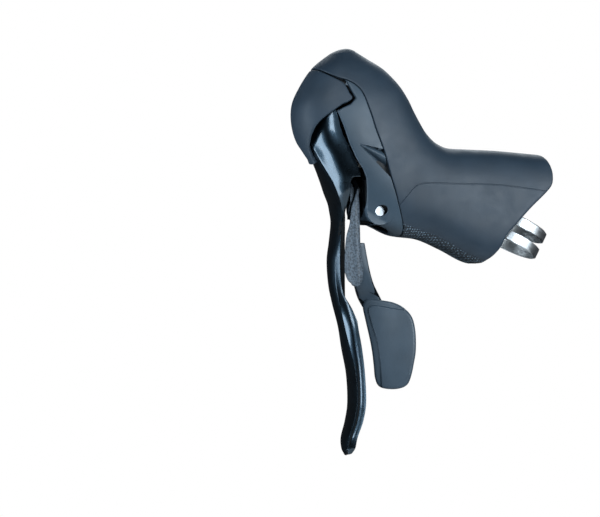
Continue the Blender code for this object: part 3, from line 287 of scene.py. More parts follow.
class ShellSettings(bpy.types.PropertyGroup):
    """Sizes of hood, covers, cap, blade, paddles and band."""

    hood_wall: millimetres("Hood wall", "Thickness of the rubber hood", 2.4)
    cover_wall: millimetres("Cover wall", "Thickness of the side covers", 1.9)
    cap_wall: millimetres("Cap wall", "Thickness of the head cap", 1.6)
    seam_lip: millimetres("Seam edge", "Rounding where two shells meet", 0.4)
    cover_lip: millimetres("Cover edge", "Rounding of the covers' front edge", 0.8)
    cap_lip: millimetres("Cap edge", "Rounding of the cap's edge", 0.7)
    mouth_lip: millimetres("Mouth edge", "Rounding of the hood's rear mouth", 1.1)
    seam_gap: millimetres("Seam gap", "Gap between hood and covers", 0.3)
    line_width: millimetres("Parting line width", "Width of the line along the grip", 0.6)
    line_depth: millimetres("Parting line depth", "Depth of the line along the grip", 0.3)
    eye_radius: millimetres("Eye radius", "Hole over the end of the pivot pin", 2.45)
    boss_radius: millimetres("Boss radius", "Flat round boss about the pivot", 6.5)
    boss_height: millimetres("Boss height", "Boss face from the middle plane", 12.9, most=20.0)
    recess_depth: millimetres("Recess depth", "Recess over the cable entry", 3.0)
    crease_groove: millimetres("Crease line", "Depth of the fine line along the blade's crease", 0.16)
    blade_wall: millimetres("Blade wall", "Thickness of the blade's channel", 1.4)
    pad_lip: millimetres("Pad edge", "Rounding of the large paddle", 1.0)
    pad_step: millimetres("Pad step", "Height of the raised field on the paddle", 0.8)
    band_thickness: millimetres("Band thickness", "Thickness of the clamp band", 1.0)
    band_lip: millimetres("Band edge", "Rounding of the clamp band's edges", 0.3)
    slot_width: millimetres("Band slot", "Width of the slot in the clamp band", 3.0)


class FinishSettings(bpy.types.PropertyGroup):
    """Colours of the finishes; each is named for its material slot, except the knurl's painted highlight and
    painted shade, the painted shade inside the blade's channel, and the floor.
    """

    hood_rubber: tint("Hood rubber", "Moulded rubber of the hood", "#2c3a47")
    # Painted highlight on the tops of the knurled dots and painted shade between them, standing in for the light
    # and shade on the raised knurl
    knurl_top: tint("Knurl tops", "Tops of the knurled dots", "#7d92a4")
    knurl_gap: tint("Knurl gaps", "Rubber between the knurled dots", "#1c2730")
    cover_plastic: tint("Side covers", "Moulded nylon of the side covers", "#3c4c59")
    cap_plastic: tint("Head cap", "Moulded nylon of the head cap", "#2f3d4a")
    pad_plastic: tint("Large paddle", "Moulded nylon of the large paddle", "#3c4a56")
    grained_plastic: tint("Small paddle", "Grained nylon of the small paddle", "#353c43")
    # Painted shade: the near-black colour inside the blade's channel stands in for the shade there
    gloss_lacquer: tint("Blade", "Metallic base coat of the blade", "#364550")
    primer: tint("Blade primer", "Primer inside the blade's channel", "#090c0f")
    band_steel: tint("Clamp band", "Polished stainless strip", "#dfe2e4")
    bright_steel: tint("Pivot pin", "Turned bright steel", "#b4b9bf")
    plated_steel: tint("Plated steel", "Zinc plated screws and springs", "#bfc3c9")
    black_steel: tint("Black steel", "Black oxide steel", "#2a2f34")
    cast_aluminium: tint("Castings", "Black anodised castings", "#23282d")
    bronze: tint("Bushes", "Sintered bronze", "#b98d55")
    nylon: tint("Bracket", "Glass-filled nylon of the bracket body", "#191c1f")
    bumper_rubber: tint("Bumper", "Moulded rubber of the stop bumper", "#17181a")
    acetal: tint("Drum", "Machined acetal", "#d8d6cc")
    floor: tint("Floor", "Rolled paint of the floor", "#f2f2f0")


class StageSettings(bpy.types.PropertyGroup):
    """Camera, floor and lamps."""

    azimuth: FloatProperty(name="Azimuth", description="Camera bearing", default=math.radians(-20.0),
                           subtype="ANGLE", unit="ROTATION")
    distance: FloatProperty(name="Distance", description="Camera distance", default=8.0, unit="LENGTH")
    frame_width: millimetres("Frame width", "Width seen by the camera", 258.0, most=600.0)
    aim_x: coordinate("Aim X", "Aimed point along X", -97.3)
    aim_z: coordinate("Aim Z", "Aimed point's height", -11.2)
    floor_z: coordinate("Floor", "Height of the floor", -340.0)
    room_light: FloatProperty(name="Room light", description="Light from all round", default=0.02, min=0.0)
    room: tint("Room colour", "Colour of the light all round", (0.80, 0.90, 1.0))
    cool: tint("Cool lamps", "Colour of most lamps", (0.84, 0.93, 1.0))
    blue: tint("Blue lamps", "Colour of the front and side lamps", (0.74, 0.88, 1.0))
    key_light: lamp_power("Key", "Large lamp at the front right", 7.6)
    kicker_light: lamp_power("Kicker", "Lamp level with the right side", 4.6)
    fill_light: lamp_power("Fill", "Soft lamp above the camera", 5.0)
    front_light: lamp_power("Front", "Small lamp beside the camera", 3.4)
    side_light: lamp_power("Side", "Tall lamp at the blade's side", 8.5)
    back_light: lamp_power("Back", "Lamp behind", 4.0)


def in_millimetres(settings):
    """Every length of a group of settings, in millimetres."""
    return SimpleNamespace(**{key: getattr(settings, key) / MM for key in type(settings).__annotations__})


def spline(rows, parts):
    """Catmull-Rom rows between rows of numbers, ends kept."""
    rows = np.asarray(rows, float)
    padded = np.vstack([rows[:1], rows, rows[-1:]])
    t = (np.arange(parts) / parts)[:, None]
    out = []
    for i in range(len(rows) - 1):
        before, a, b, after = padded[i:i + 4]
        out.append(0.5 * (2 * a + (b - before) * t + (2 * before - 5 * a + 4 * b - after) * t ** 2
                          + (3 * a - before - 3 * b + after) * t ** 3))
    return np.vstack(out + [rows[-1:]])


def smoothstep(low, high, value):
    """0 below low, 1 above high, smooth between."""
    t = np.clip((np.asarray(value, float) - low) / (high - low), 0.0, 1.0)
    return t * t * (3.0 - 2.0 * t)


def signed_power(value, power):
    """Power that keeps the sign."""
    return np.sign(value) * np.abs(value) ** power


class Skin:
    """An open or closed surface in millimetres that fields can split, trim and press."""

    def __init__(self, points, faces):
        self.points = np.asarray(points, float)
        self.faces = [tuple(face) for face in faces]

    def normals(self):
        """Smooth outward direction at each point."""
        total = np.zeros_like(self.points)
        for size in sorted({len(face) for face in self.faces}):
            group = np.array([face for face in self.faces if len(face) == size], int)
            corners = self.points[group]
            turn = np.zeros((len(group), 3))
            for k in range(1, size - 1):
                turn += np.cross(corners[:, k] - corners[:, 0], corners[:, k + 1] - corners[:, 0])
            for k in range(size):
                np.add.at(total, group[:, k], turn)
        length = np.linalg.norm(total, axis=1, keepdims=True)
        return total / np.maximum(length, TINY)

    def split(self, field, *levels):
        """Cut every face along the lines where the field has each level."""
        for level in levels:
            value = field(self.points) - level
            value[np.abs(value) < ON_LINE] = 0.0
            sign = np.sign(value).astype(int)
            made = {}
            extra = []
            faces = []
            for face in self.faces:
                signs = [sign[v] for v in face]
                if min(signs) >= 0 or max(signs) <= 0:
                    faces.append(face)
                    continue
                above, below = [], []
                for k, a in enumerate(face):
                    b = face[(k + 1) % len(face)]
                    if sign[a] >= 0:
                        above.append(a)
                    if sign[a] <= 0:
                        below.append(a)
                    if sign[a] * sign[b] < 0:
                        key = (min(a, b), max(a, b))
                        if key not in made:
                            low, high = key
                            t = value[low] / (value[low] - value[high])
                            made[key] = len(self.points) + len(extra)
                            extra.append(self.points[low] + t * (self.points[high] - self.points[low]))
                        above.append(made[key])
                        below.append(made[key])
                faces += [tuple(part) for part in (above, below) if len(part) > 2]
            if extra:
                self.points = np.vstack([self.points, extra])
            self.faces = faces
        return self

    def keep(self, field):
        """Keep the faces whose middle has a positive field."""
        middles = np.array([self.points[list(f)].mean(axis=0) for f in self.faces])
        inside = field(middles) > 0
        self.faces = [f for f, ok in zip(self.faces, inside) if ok]
        used = np.unique(np.concatenate([np.array(f) for f in self.faces]))
        index = np.full(len(self.points), -1)
        index[used] = np.arange(len(used))
        self.points = self.points[used]
        self.faces = [tuple(index[list(f)]) for f in self.faces]
        return self

    def press(self, depth):
        """Move points inwards by a depth given for each point."""
        self.points = self.points - self.normals() * depth[:, None]
        return self

    def close(self, points, far_points):
        """Solid between these faces at one set of points and at another, with closed rims."""
        count = len(self.points)
        edges = {}
        for face in self.faces:
            for k, a in enumerate(face):
                edges[(a, face[(k + 1) % len(face)])] = True
        faces = self.faces + [tuple(v + count for v in face[::-1]) for face in self.faces]
        for a, b in edges:
            if (b, a) not in edges:
                faces.append((b, a, a + count, b + count))
        return Skin(np.vstack([points, far_points]), faces)

    def thicken(self, wall):
        """Give an open skin a wall and close its rims."""
        return self.close(self.points, self.points - self.normals() * np.reshape(wall, (-1, 1)))


def side_distance(outline, closed=False):
    """Field: signed distance in side view, positive to the left of the outline's direction."""
    line = np.asarray(outline, float)
    if closed:
        line = np.vstack([line, line[:1]])
        turning = line[:-1, 0] * line[1:, 1] - line[1:, 0] * line[:-1, 1]
        line = line if turning.sum() > 0 else line[::-1]
    start, end = line[:-1], line[1:]
    step = end - start
    square = np.maximum((step ** 2).sum(axis=1), TINY)

    def field(points):
        spot = points[:, [0, 2]]
        best = np.full(len(spot), np.inf)
        side = np.zeros(len(spot))
        for a, d, dd in zip(start, step, square):
            t = np.clip(((spot - a) @ d) / dd, 0.0, 1.0)
            gap = spot - (a + t[:, None] * d)
            dist = np.hypot(gap[:, 0], gap[:, 1])
            turn = (d[0] * (spot[:, 1] - a[1]) - d[1] * (spot[:, 0] - a[0])) / math.sqrt(dd)
            nearer = dist < best - SAME
            same = np.abs(dist - best) <= SAME
            side = np.where(nearer | (same & (np.abs(turn) > np.abs(side))), turn, side)
            best = np.minimum(best, dist)
        return np.where(side >= 0, best, -best)

    return field


def along(axis):
    """Field: coordinate along an axis, 0 to 2."""
    return lambda points: points[:, axis]


def away_from(centre):
    """Field: distance from a point in side view."""
    def field(points):
        return np.hypot(points[:, 0] - centre[0], points[:, 2] - centre[1])

    return field


def outside_bar(radius):
    """Field: distance outside a round bar that bends about a point behind the clamp."""
    centre = -np.array(BAR_FRONT) * BAR_BEND_RADIUS

    def field(points):
        spot = points - centre
        reach = np.hypot(spot[:, 0], spot[:, 2]) - BAR_BEND_RADIUS
        return np.hypot(reach, spot[:, 1]) - radius

    return field


def lowest(*fields):
    """Field: the lowest of several, so the shape where all are positive."""
    return lambda points: np.minimum.reduce([field(points) for field in fields])


def offset(field, scale, shift):
    """Field: another one scaled, then shifted."""
    return lambda points: scale * field(points) + shift


def lip(distance, radius):
    """How deep a rounded edge sinks at a distance in from it."""
    inside = np.clip(radius - distance, 0.0, radius)
    return radius - np.sqrt(np.maximum(radius ** 2 - inside ** 2, 0.0))


def lip_levels(radius):
    """Distances at which a rounded edge needs a line of points."""
    return [radius * share for share in LIP_LINES]


def ring_faces(rows, count, closed=False):
    """Faces of a tube of rings; a closed one joins its last ring to its first."""
    faces = []
    for row in range(rows if closed else rows - 1):
        a, b = row * count, (row + 1) % rows * count
        faces += [(a + i, a + (i + 1) % count, b + (i + 1) % count, b + i) for i in range(count)]
    return faces


def end_faces(rows, count):
    """One flat face over each end of a tube of rings."""
    last = (rows - 1) * count
    return [tuple(range(count)), tuple(range(last, last + count))]


def strip_faces(rows, count):
    """Faces of an open sheet of rows of points."""
    return [(a + i, a + count + i, a + count + i + 1, a + i + 1)
            for a in range(0, (rows - 1) * count, count) for i in range(count - 1)]


def body_skin():
    """Outer surface shared by hood, side covers and cap."""
    rows = spline([(*a, *b, w, square) for a, b, w, square in BODY_STATIONS], BODY_PARTS)
    turn = np.linspace(0.0, math.tau, BODY_SIDES, endpoint=False)
    rings = []
    for ax, az, bx, bz, width, square in rows:
        u = signed_power(np.cos(turn), 2 / square)
        v = signed_power(np.sin(turn), 2 / square)
        upper = np.array([ax, 0.0, az])
        lower = np.array([bx, 0.0, bz])
        ring = (upper + lower) / 2 + np.outer(u, (upper - lower) / 2)
        ring[:, 1] += v * width
        rings.append(ring)
    pole = np.array([BODY_POLE[0], 0.0, BODY_POLE[1]])
    last = rings[-1]
    middle = last.mean(axis=0)
    for share in POLE_RINGS:
        rings.append(middle + (last - middle) * share + (pole - middle) * (1.0 - share ** 2))
    top = (len(rings) - 1) * BODY_SIDES
    tip = top + BODY_SIDES
    faces = ring_faces(len(rings), BODY_SIDES)
    faces += [(top + i, top + (i + 1) % BODY_SIDES, tip) for i in range(BODY_SIDES)]
    return Skin(np.vstack([*rings, pole]), faces)


def add_mesh(name, skin, body, slot, replaces=(), smooth=35.0, masks=None):
    """Object from a skin in millimetres, riding a body of the frame and wearing its slot's finish."""
    mesh = bpy.data.meshes.new(name)
    mesh.from_pydata((skin.points * MM).tolist(), [], [list(f) for f in skin.faces])
    edit = bmesh.new()
    edit.from_mesh(mesh)
    bmesh.ops.recalc_face_normals(edit, faces=edit.faces)
    if edit.calc_volume(signed=True) < 0:
        bmesh.ops.reverse_faces(edit, faces=edit.faces)
    edit.to_mesh(mesh)
    edit.free()
    for mask, values in (masks or {}).items():
        layer = mesh.attributes.new(mask, "FLOAT", "POINT")
        layer.data.foreach_set("value", np.asarray(values, np.float32))
    mesh.shade_smooth()
    mesh.set_sharp_from_angle(angle=math.radians(smooth))
    mesh.materials.append(finish_of(slot))
    piece = bpy.data.objects.new(name, mesh)
    bpy.context.scene.collection.objects.link(piece)
    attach(piece, body)
    if replaces:
        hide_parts(*replaces)


def build_hood(s):
    """Rubber hood: grip, pommel, rear mouth, parting line and knurled underside."""
    seam = side_distance(spline(HOOD_SEAM, 5))
    mouth = offset(side_distance(spline(MOUTH, 5)), -1.0, 0.0)
    saddle = outside_bar(BAR_RADIUS + BAR_CLEARANCE)
    drawn = side_distance(spline(HOOD_LINE, 5))
    skin = body_skin()
    skin.split(seam, 0.0).split(mouth, 0.0).split(saddle, 0.0).keep(lowest(seam, mouth, saddle))
    skin.split(seam, *lip_levels(s.seam_lip))
    skin.split(mouth, *lip_levels(s.mouth_lip)).split(saddle, *lip_levels(s.mouth_lip))
    # Lines of points along the groove's bottom, both sides of its floor, and both edges
    half = s.line_width / 2
    skin.split(drawn, 0.0, half * 0.45, -half * 0.45, half, -half)
    depth = lip(seam(skin.points), s.seam_lip)
    depth = np.maximum(depth, lip(lowest(mouth, saddle)(skin.points), s.mouth_lip))
    groove = s.line_depth * (1.0 - smoothstep(half * 0.4, half, np.abs(drawn(skin.points))))
    skin.press(np.maximum(depth, groove))
    # The knurl mask also places the painted highlight on the dots' tops and the painted shade between them
    knurl = smoothstep(-KNURL_FADE, KNURL_FADE, side_distance(KNURL, closed=True)(skin.points))
    masks = {"knurl": np.concatenate([knurl, np.zeros(len(knurl))])}
    add_mesh("hood_skin", skin.thicken(s.hood_wall), "bracket", "hood_rubber", ["hood"], masks=masks)


def flat_boss(points, sign_y, height, radius):
    """Raise a flat round boss about the brake pivot on one side."""
    share = 1.0 - smoothstep(radius - BOSS_SLOPE, radius, away_from(PIVOT_SPOT)(points))
    below = height - sign_y * points[:, 1]
    lift = (below + np.sqrt(below ** 2 + BOSS_SOFTNESS)) / 2
    points[:, 1] += share * sign_y * np.where(below > -BOSS_REACH, lift, 0.0)


def recess_share(points, inside):
    """Depth of the recess from 0 to 1: deeper rearwards, a cone lying in it between two grooves."""
    spot = points[:, [0, 2]]
    point, low, high = (np.array(corner) for corner in RECESS)
    from_edges = []
    for end, sign in ((high, -1.0), (low, 1.0)):
        run = end - point
        from_edges.append(np.maximum(sign * ((spot - point) @ (-run[1], run[0])), 0.0) / np.linalg.norm(run))
    upper, lower = from_edges
    across = upper / np.maximum(upper + lower, TINY)
    back = np.clip(np.linalg.norm(spot - point, axis=1) / np.linalg.norm(high - point), 0.0, 1.2)
    cone = np.sin(np.clip((across - CONE_START) / CONE_WIDTH, 0.0, 1.0) * math.pi) ** CONE_FULLNESS
    return smoothstep(0.0, RECESS_WALL, inside) * back * (1.0 - CONE_HEIGHT * cone)


def build_side_covers(s):
    """Two moulded covers with pivot boss, eye and the recess over the cable entry."""
    behind = offset(side_distance(spline(HOOD_SEAM, 5)), -1.0, -s.seam_gap)
    front = side_distance(COVER_SHAPE, closed=True)
    from_pivot = away_from(PIVOT_SPOT)
    eye = offset(from_pivot, 1.0, -s.eye_radius)
    recess = side_distance(RECESS, closed=True)
    boss_side = [s.boss_radius - BOSS_SLOPE * part / 3 for part in (3, 2, 1, 0)]
    for name, sign_y in (("inner", -1), ("outer", 1)):
        side = offset(along(1), sign_y, -COVER_MIDDLE)
        skin = body_skin()
        skin.split(side, 0.0).keep(side)
        skin.split(behind, 0.0).split(front, 0.0).keep(lowest(behind, front))
        skin.split(along(0), *RECESS_X_LINES).split(along(2), *RECESS_Z_LINES)
        skin.split(from_pivot, *boss_side)
        skin.split(eye, 0.0).keep(lowest(behind, front, eye))
        skin.split(eye, *lip_levels(s.seam_lip)).split(behind, *lip_levels(s.seam_lip))
        skin.split(front, *lip_levels(s.cover_lip)).split(recess, *RECESS_LINES)
        flat_boss(skin.points, sign_y, s.boss_height, s.boss_radius)
        depth = lip(lowest(behind, eye)(skin.points), s.seam_lip)
        depth = np.maximum(depth, lip(front(skin.points), s.cover_lip))
        hollow = s.recess_depth * recess_share(skin.points, recess(skin.points))
        skin.press(np.maximum(depth, hollow))
        add_mesh(name + "_cover", skin.thicken(s.cover_wall), "bracket", "cover_plastic",
                 [name + "_side_cover"])


def build_head_cap(s):
    """Moulded cap on the front of the lever, its lower edge rolled over the blade."""
    edge = offset(side_distance(spline(CAP_EDGE, 5)), -1.0, 0.0)
    skin = body_skin()
    skin.split(edge, 0.0).keep(edge)
    skin.split(edge, *lip_levels(s.cap_lip))
    skin.press(lip(edge(skin.points), s.cap_lip))
    add_mesh("cap_shell", skin.thicken(s.cap_wall), "brake_lever", "cap_plastic", ["head_cap"])


def blade_section(half, depth, crease, groove):
    """Outer line of the blade's section from far rim to near rim, with a fine groove at each crease."""
    side = spline(SECTION_SIDE, 7)
    front = spline(SECTION_FRONT, 5)
    start, start_depth = SECTION_FRONT[0]
    side[:, 0] = crease + (side[:, 0] - start) * (1.0 - crease) / (1.0 - start)
    side[:, 1] *= 1.0 - CREASE_DROP * (crease - start)
    front[:, 0] *= crease / start
    front[:, 1] = 1.0 - (1.0 - front[:, 1]) * (1.0 - side[-1, 1]) / (1.0 - start_depth)
    side, front = side * (half, depth), front * (half, depth)
    # The groove starts a little above the crease, is deepest on it, and ends a little towards the nose
    corner = side[-1]
    line = np.vstack([side[:-1], corner + (groove, -groove * 0.4), corner - (0.0, groove),
                      corner - (groove, -groove * 0.2), front[1:]])
    return np.vstack([line, line[-2::-1] * (-1.0, 1.0)])


def build_blade(s):
    """Glossy blade: a channel open to the rear, its inner wall cut away for the paddles."""
    rows = spline(BLADE_STATIONS, 7)
    rings = []
    for z, y, front, rear, half, crease in rows:
        line = blade_section(half, rear - front, crease, s.crease_groove)
        rings.append(np.column_stack([rear - line[:, 1], y + line[:, 0], np.full(len(line), z)]))
    last = rings[-1]
    middle = last.mean(axis=0)
    for share in TIP_RINGS:
        drop = math.sqrt(1.0 - share ** 2) * TIP_DOME
        rings.append(middle + (last - middle) * share - (0.0, 0.0, drop))
    skin = Skin(np.vstack(rings), strip_faces(len(rings), len(last)))
    edge = side_distance(spline(BLADE_TRIM, 4))
    heights, centres = rows[::-1, 0], rows[::-1, 1]

    def inner_wall(points):
        """The trim's distance on the inner wall, well inside everywhere else."""
        near = points[:, 1] < np.interp(points[:, 2], heights, centres)
        return np.where(near, edge(points), s.blade_wall * 4)

    skin.split(inner_wall, 0.0).keep(inner_wall).split(inner_wall, *lip_levels(s.seam_lip))
    skin.press(lip(inner_wall(skin.points), s.seam_lip))
    # The wall thins to a fifth at the tip, where a full one would not fit in the dome
    tip = heights[0]
    wall = s.blade_wall * (0.2 + 0.8 * smoothstep(tip - 1.0, tip + 9.0, skin.points[:, 2]))
    # The inside mask marks the channel's inner face, which the finish paints near-black as painted shade
    inside = np.repeat([0.0, 1.0], len(skin.points))
    add_mesh("blade_shell", skin.thicken(wall), "brake_lever", "gloss_lacquer", ["lever_blade"], smooth=16.0,
             masks={"inside": inside})


def closed_spline(points, parts):
    """Catmull-Rom round a closed outline."""
    points = np.asarray(points, float)
    wrapped = np.vstack([points[-2:], points, points[:3]])
    return spline(wrapped, parts)[2 * parts:(len(points) + 2) * parts]


def grid_skin(low, high, step):
    """Flat square mesh over (across, height), used as (x, 0, z)."""
    across = np.arange(low[0], high[0] + step, step)
    height = np.arange(low[1], high[1] + step, step)
    return Skin([(a, 0.0, h) for h in height for a in across], strip_faces(len(height), len(across)))


def build_pad(s):
    """Pad of the large paddle: crowned plate with a raised field inside a border."""
    outline = side_distance(closed_spline(PAD_OUTLINE, 5), closed=True)
    field = side_distance(closed_spline(PAD_FIELD, 5), closed=True)
    skin = grid_skin(*PAD_GRID)
    skin.split(outline, 0.0).keep(outline)
    skin.split(outline, *lip_levels(s.pad_lip))
    skin.split(field, FIELD_SLOPE[0], -0.15, 0.0, FIELD_SLOPE[1])
    across, height = skin.points[:, 0], skin.points[:, 2]
    edge = outline(skin.points)
    raised = s.pad_step * smoothstep(*FIELD_SLOPE, field(skin.points))
    crown = -PAD_CROWN[0] * (across - PAD_TOP[0]) ** 2 - PAD_CROWN[1] * (height - PAD_TOP[1]) ** 2
    front = PAD_FRONT + raised + crown - lip(edge, s.pad_lip)
    back = PAD_BACK + crown + lip(edge, s.pad_lip * 0.8)
    base = np.array([*PAD_CENTRE, 0.0]) + np.outer(across, PAD_ACROSS)
    base[:, 2] = height
    solid = skin.close(base + np.outer(front, PAD_FACE), base + np.outer(back, PAD_FACE))
    add_mesh("large_paddle_pad", solid, "downshift_lever", "pad_plastic", ["downshift_pad"], smooth=50.0)


def build_neck():
    """Moulded neck between the large paddle's stem and its pad."""
    around = np.linspace(0.0, math.tau, NECK_SIDES, endpoint=False)
    rings = []
    for z, cx, cy, half_x, half_y, turn in spline(NECK, 6):
        u = signed_power(np.cos(around), NECK_POWERS[0]) * half_x
        v = signed_power(np.sin(around), NECK_POWERS[1]) * half_y
        c, k = math.cos(math.radians(turn)), math.sin(math.radians(turn))
        rings.append(np.column_stack([cx + u * c - v * k, cy + u * k + v * c, np.full(NECK_SIDES, z)]))
    first = rings[0]
    middle = first.mean(axis=0)
    rings = [middle + (first - middle) * share + (0.0, 0.0, rise) for share, rise in NECK_END] + rings
    faces = end_faces(len(rings), NECK_SIDES) + ring_faces(len(rings), NECK_SIDES)
    add_mesh("large_paddle_neck", Skin(np.vstack(rings), faces), "downshift_lever", "pad_plastic",
             smooth=50.0)


def build_small_paddle():
    """Grained cover of the small lever: two faces meeting in a soft ridge."""
    rings = []
    for z, fx, fy, rx, ry, bx, by in spline([(z, *f, *r, *b) for z, f, r, b in UPSHIFT_SECTIONS], 8):
        face = np.array([(fx, fy), (rx, ry), (bx, by)])
        ring = np.vstack([face, face[::-1] + UPSHIFT_BACKS])
        for _ in range(3):
            ahead = np.roll(ring, -1, axis=0)
            cut = [ring + (ahead - ring) * CORNER_CUT, ahead + (ring - ahead) * CORNER_CUT]
            ring = np.stack(cut, axis=1).reshape(-1, 2)
        rings.append(np.column_stack([ring, np.full(len(ring), z)]))

    def dome(ring, rise):
        """Closing rings of one end, growing smaller."""
        middle = ring.mean(axis=0)
        return [middle + (ring - middle) * share + (0.0, 0.0, rise * math.sqrt(1.0 - share ** 2))
                for share in UPSHIFT_ENDS]

    upper, lower = UPSHIFT_DOMES
    rings = dome(rings[0], upper)[::-1] + rings + dome(rings[-1], -lower)
    count = len(rings[0])
    faces = end_faces(len(rings), count) + ring_faces(len(rings), count)
    add_mesh("small_paddle_cover", Skin(np.vstack(rings), faces), "upshift_lever", "grained_plastic",
             ["upshift_cover"], smooth=60.0)


def build_band_strip(s):
    """Polished strip round the bar with a slot and rolled edges."""
    axis, front, side = np.array(BAR_AXIS), np.array(BAR_FRONT), np.array((0.0, 1.0, 0.0))
    around = np.linspace(0.0, math.tau, BAND_SIDES, endpoint=False)
    spoke = np.outer(np.cos(around), front) + np.outer(np.sin(around), side)
    rings = [axis * step + spoke * (BAR_RADIUS + s.band_thickness) for step in BAND_LINES]
    skin = Skin(np.vstack(rings), ring_faces(len(rings), BAND_SIDES))

    def slot(points):
        """Outside the rounded slot across the rear half of the band."""
        run = points @ axis
        turn = np.arctan2(points @ side, points @ front)
        past = (SLOT_START - np.abs(turn)) * BAR_RADIUS
        return np.where(past > 0, np.hypot(run, past), np.abs(run)) - s.slot_width / 2

    def rim(points):
        """Distance in from the band's two round edges."""
        return BAND_HALF - np.abs(points @ axis)

    skin.split(slot, 0.0).keep(slot).split(slot, *lip_levels(s.band_lip))
    skin.press(lip(lowest(rim, slot)(skin.points), s.band_lip))
    add_mesh("band_strip", skin.thicken(s.band_thickness), "bracket", "band_steel", ["clamp_band"])


def build_band_nut():
    """Threaded lug that the band's bolt screws into."""
    axis, front, side = np.array(BAR_AXIS), np.array(BAR_FRONT), np.array((0.0, 1.0, 0.0))
    around = np.linspace(0.0, math.tau, LUG_SIDES, endpoint=False)
    spoke = np.outer(np.cos(around), axis) + np.outer(np.sin(around), side)
    rings = [front * reach + spoke * radius for reach, radius in LUG_PROFILE]
    faces = ring_faces(len(rings), LUG_SIDES, closed=True)
    add_mesh("band_nut", Skin(np.vstack(rings), faces), "bracket", "band_steel")


def node(tree, kind, inputs=None, **settings):
    """Add a node with its settings; each input takes a socket to link or a value to hold."""
    made = tree.nodes.new(kind)
    for key, value in settings.items():
        setattr(made, key, value)
    for key, source in (inputs or {}).items():
        if isinstance(source, bpy.types.NodeSocket):
            tree.links.new(made.inputs[key], source)
        else:
            made.inputs[key].default_value = source
    return made


def shade(colour, factor=1.0):
    """Linear colour times a factor, with alpha."""
    return (*(min(part * factor, 1.0) for part in colour), 1.0)


def per_mm(size):
    """Texture scale that gives features of a size in millimetres."""
    return 1.0 / (size * MM)


def new_material(name):
    """Empty node material, and the place on the piece that its patterns follow."""
    material = bpy.data.materials.new(name)
    material.use_nodes = True
    tree = material.node_tree
    tree.nodes.clear()
    spot = node(tree, "ShaderNodeTexCoord", name="spot").outputs["Object"]
    return material, tree, spot


def moulded(name, colour, roughness, grain_mm, grain_depth_mm, mottle=0.12, grain_highlight=0.0):
    """Moulded rubber or plastic: pebbled by its mould, faintly uneven in tone and in gloss, with a painted
    highlight on the grain tops where asked.
    """
    material, tree, spot = new_material(name)
    patches = node(tree, "ShaderNodeTexNoise", {
        "Vector": spot, "Scale": per_mm(PATCH_MM), "Detail": 3.0, "Roughness": 0.5})
    share = node(tree, "ShaderNodeMapRange", {
        "Value": patches.outputs["Fac"], "From Min": NOISE_LOW, "From Max": NOISE_HIGH})
    tone = node(tree, "ShaderNodeMix", {
        FACTOR: share.outputs[0], COLOUR_A: shade(colour, 1 - mottle), COLOUR_B: shade(colour, 1 + mottle)},
        data_type="RGBA")
    cells = node(tree, "ShaderNodeTexVoronoi", {
        "Vector": spot, "Scale": per_mm(grain_mm)}, feature="SMOOTH_F1")
    fine = node(tree, "ShaderNodeTexNoise", {
        "Vector": spot, "Scale": per_mm(grain_mm * 0.6), "Detail": 2.0, "Roughness": 0.5})
    grain = node(tree, "ShaderNodeMath", {
        0: cells.outputs["Distance"], 1: fine.outputs["Fac"]}, operation="MULTIPLY").outputs[0]
    # Painted highlight: the grain tops are lightened, standing in for the light they catch
    if grain_highlight:
        tops = node(tree, "ShaderNodeMapRange", {
            "Value": grain, "From Min": 0.1, "From Max": 0.3, "To Max": grain_highlight})
        tone = node(tree, "ShaderNodeMix", {
            FACTOR: tops.outputs[0], COLOUR_A: tone.outputs[MIXED], COLOUR_B: shade(colour, GRAIN_HIGHLIGHT)},
            data_type="RGBA")
    handled = node(tree, "ShaderNodeTexNoise", {
        "Vector": spot, "Scale": per_mm(HANDLED_MM), "Detail": 4.0, "Roughness": 0.6})
    gloss = node(tree, "ShaderNodeMapRange", {
        "Value": handled.outputs["Fac"], "From Min": NOISE_LOW, "From Max": NOISE_HIGH,
        "To Min": roughness - GLOSS_SPREAD, "To Max": roughness + GLOSS_SPREAD})
    bump = node(tree, "ShaderNodeBump", {"Height": grain, "Strength": 1.0, "Distance": grain_depth_mm * MM})
    shader = node(tree, "ShaderNodeBsdfPrincipled", {
        "Base Color": tone.outputs[MIXED], "Roughness": gloss.outputs[0], "Normal": bump.outputs[0],
        "IOR": PLASTIC_IOR}, name="shader")
    node(tree, "ShaderNodeOutputMaterial", {"Surface": shader.outputs[0]})
    return material


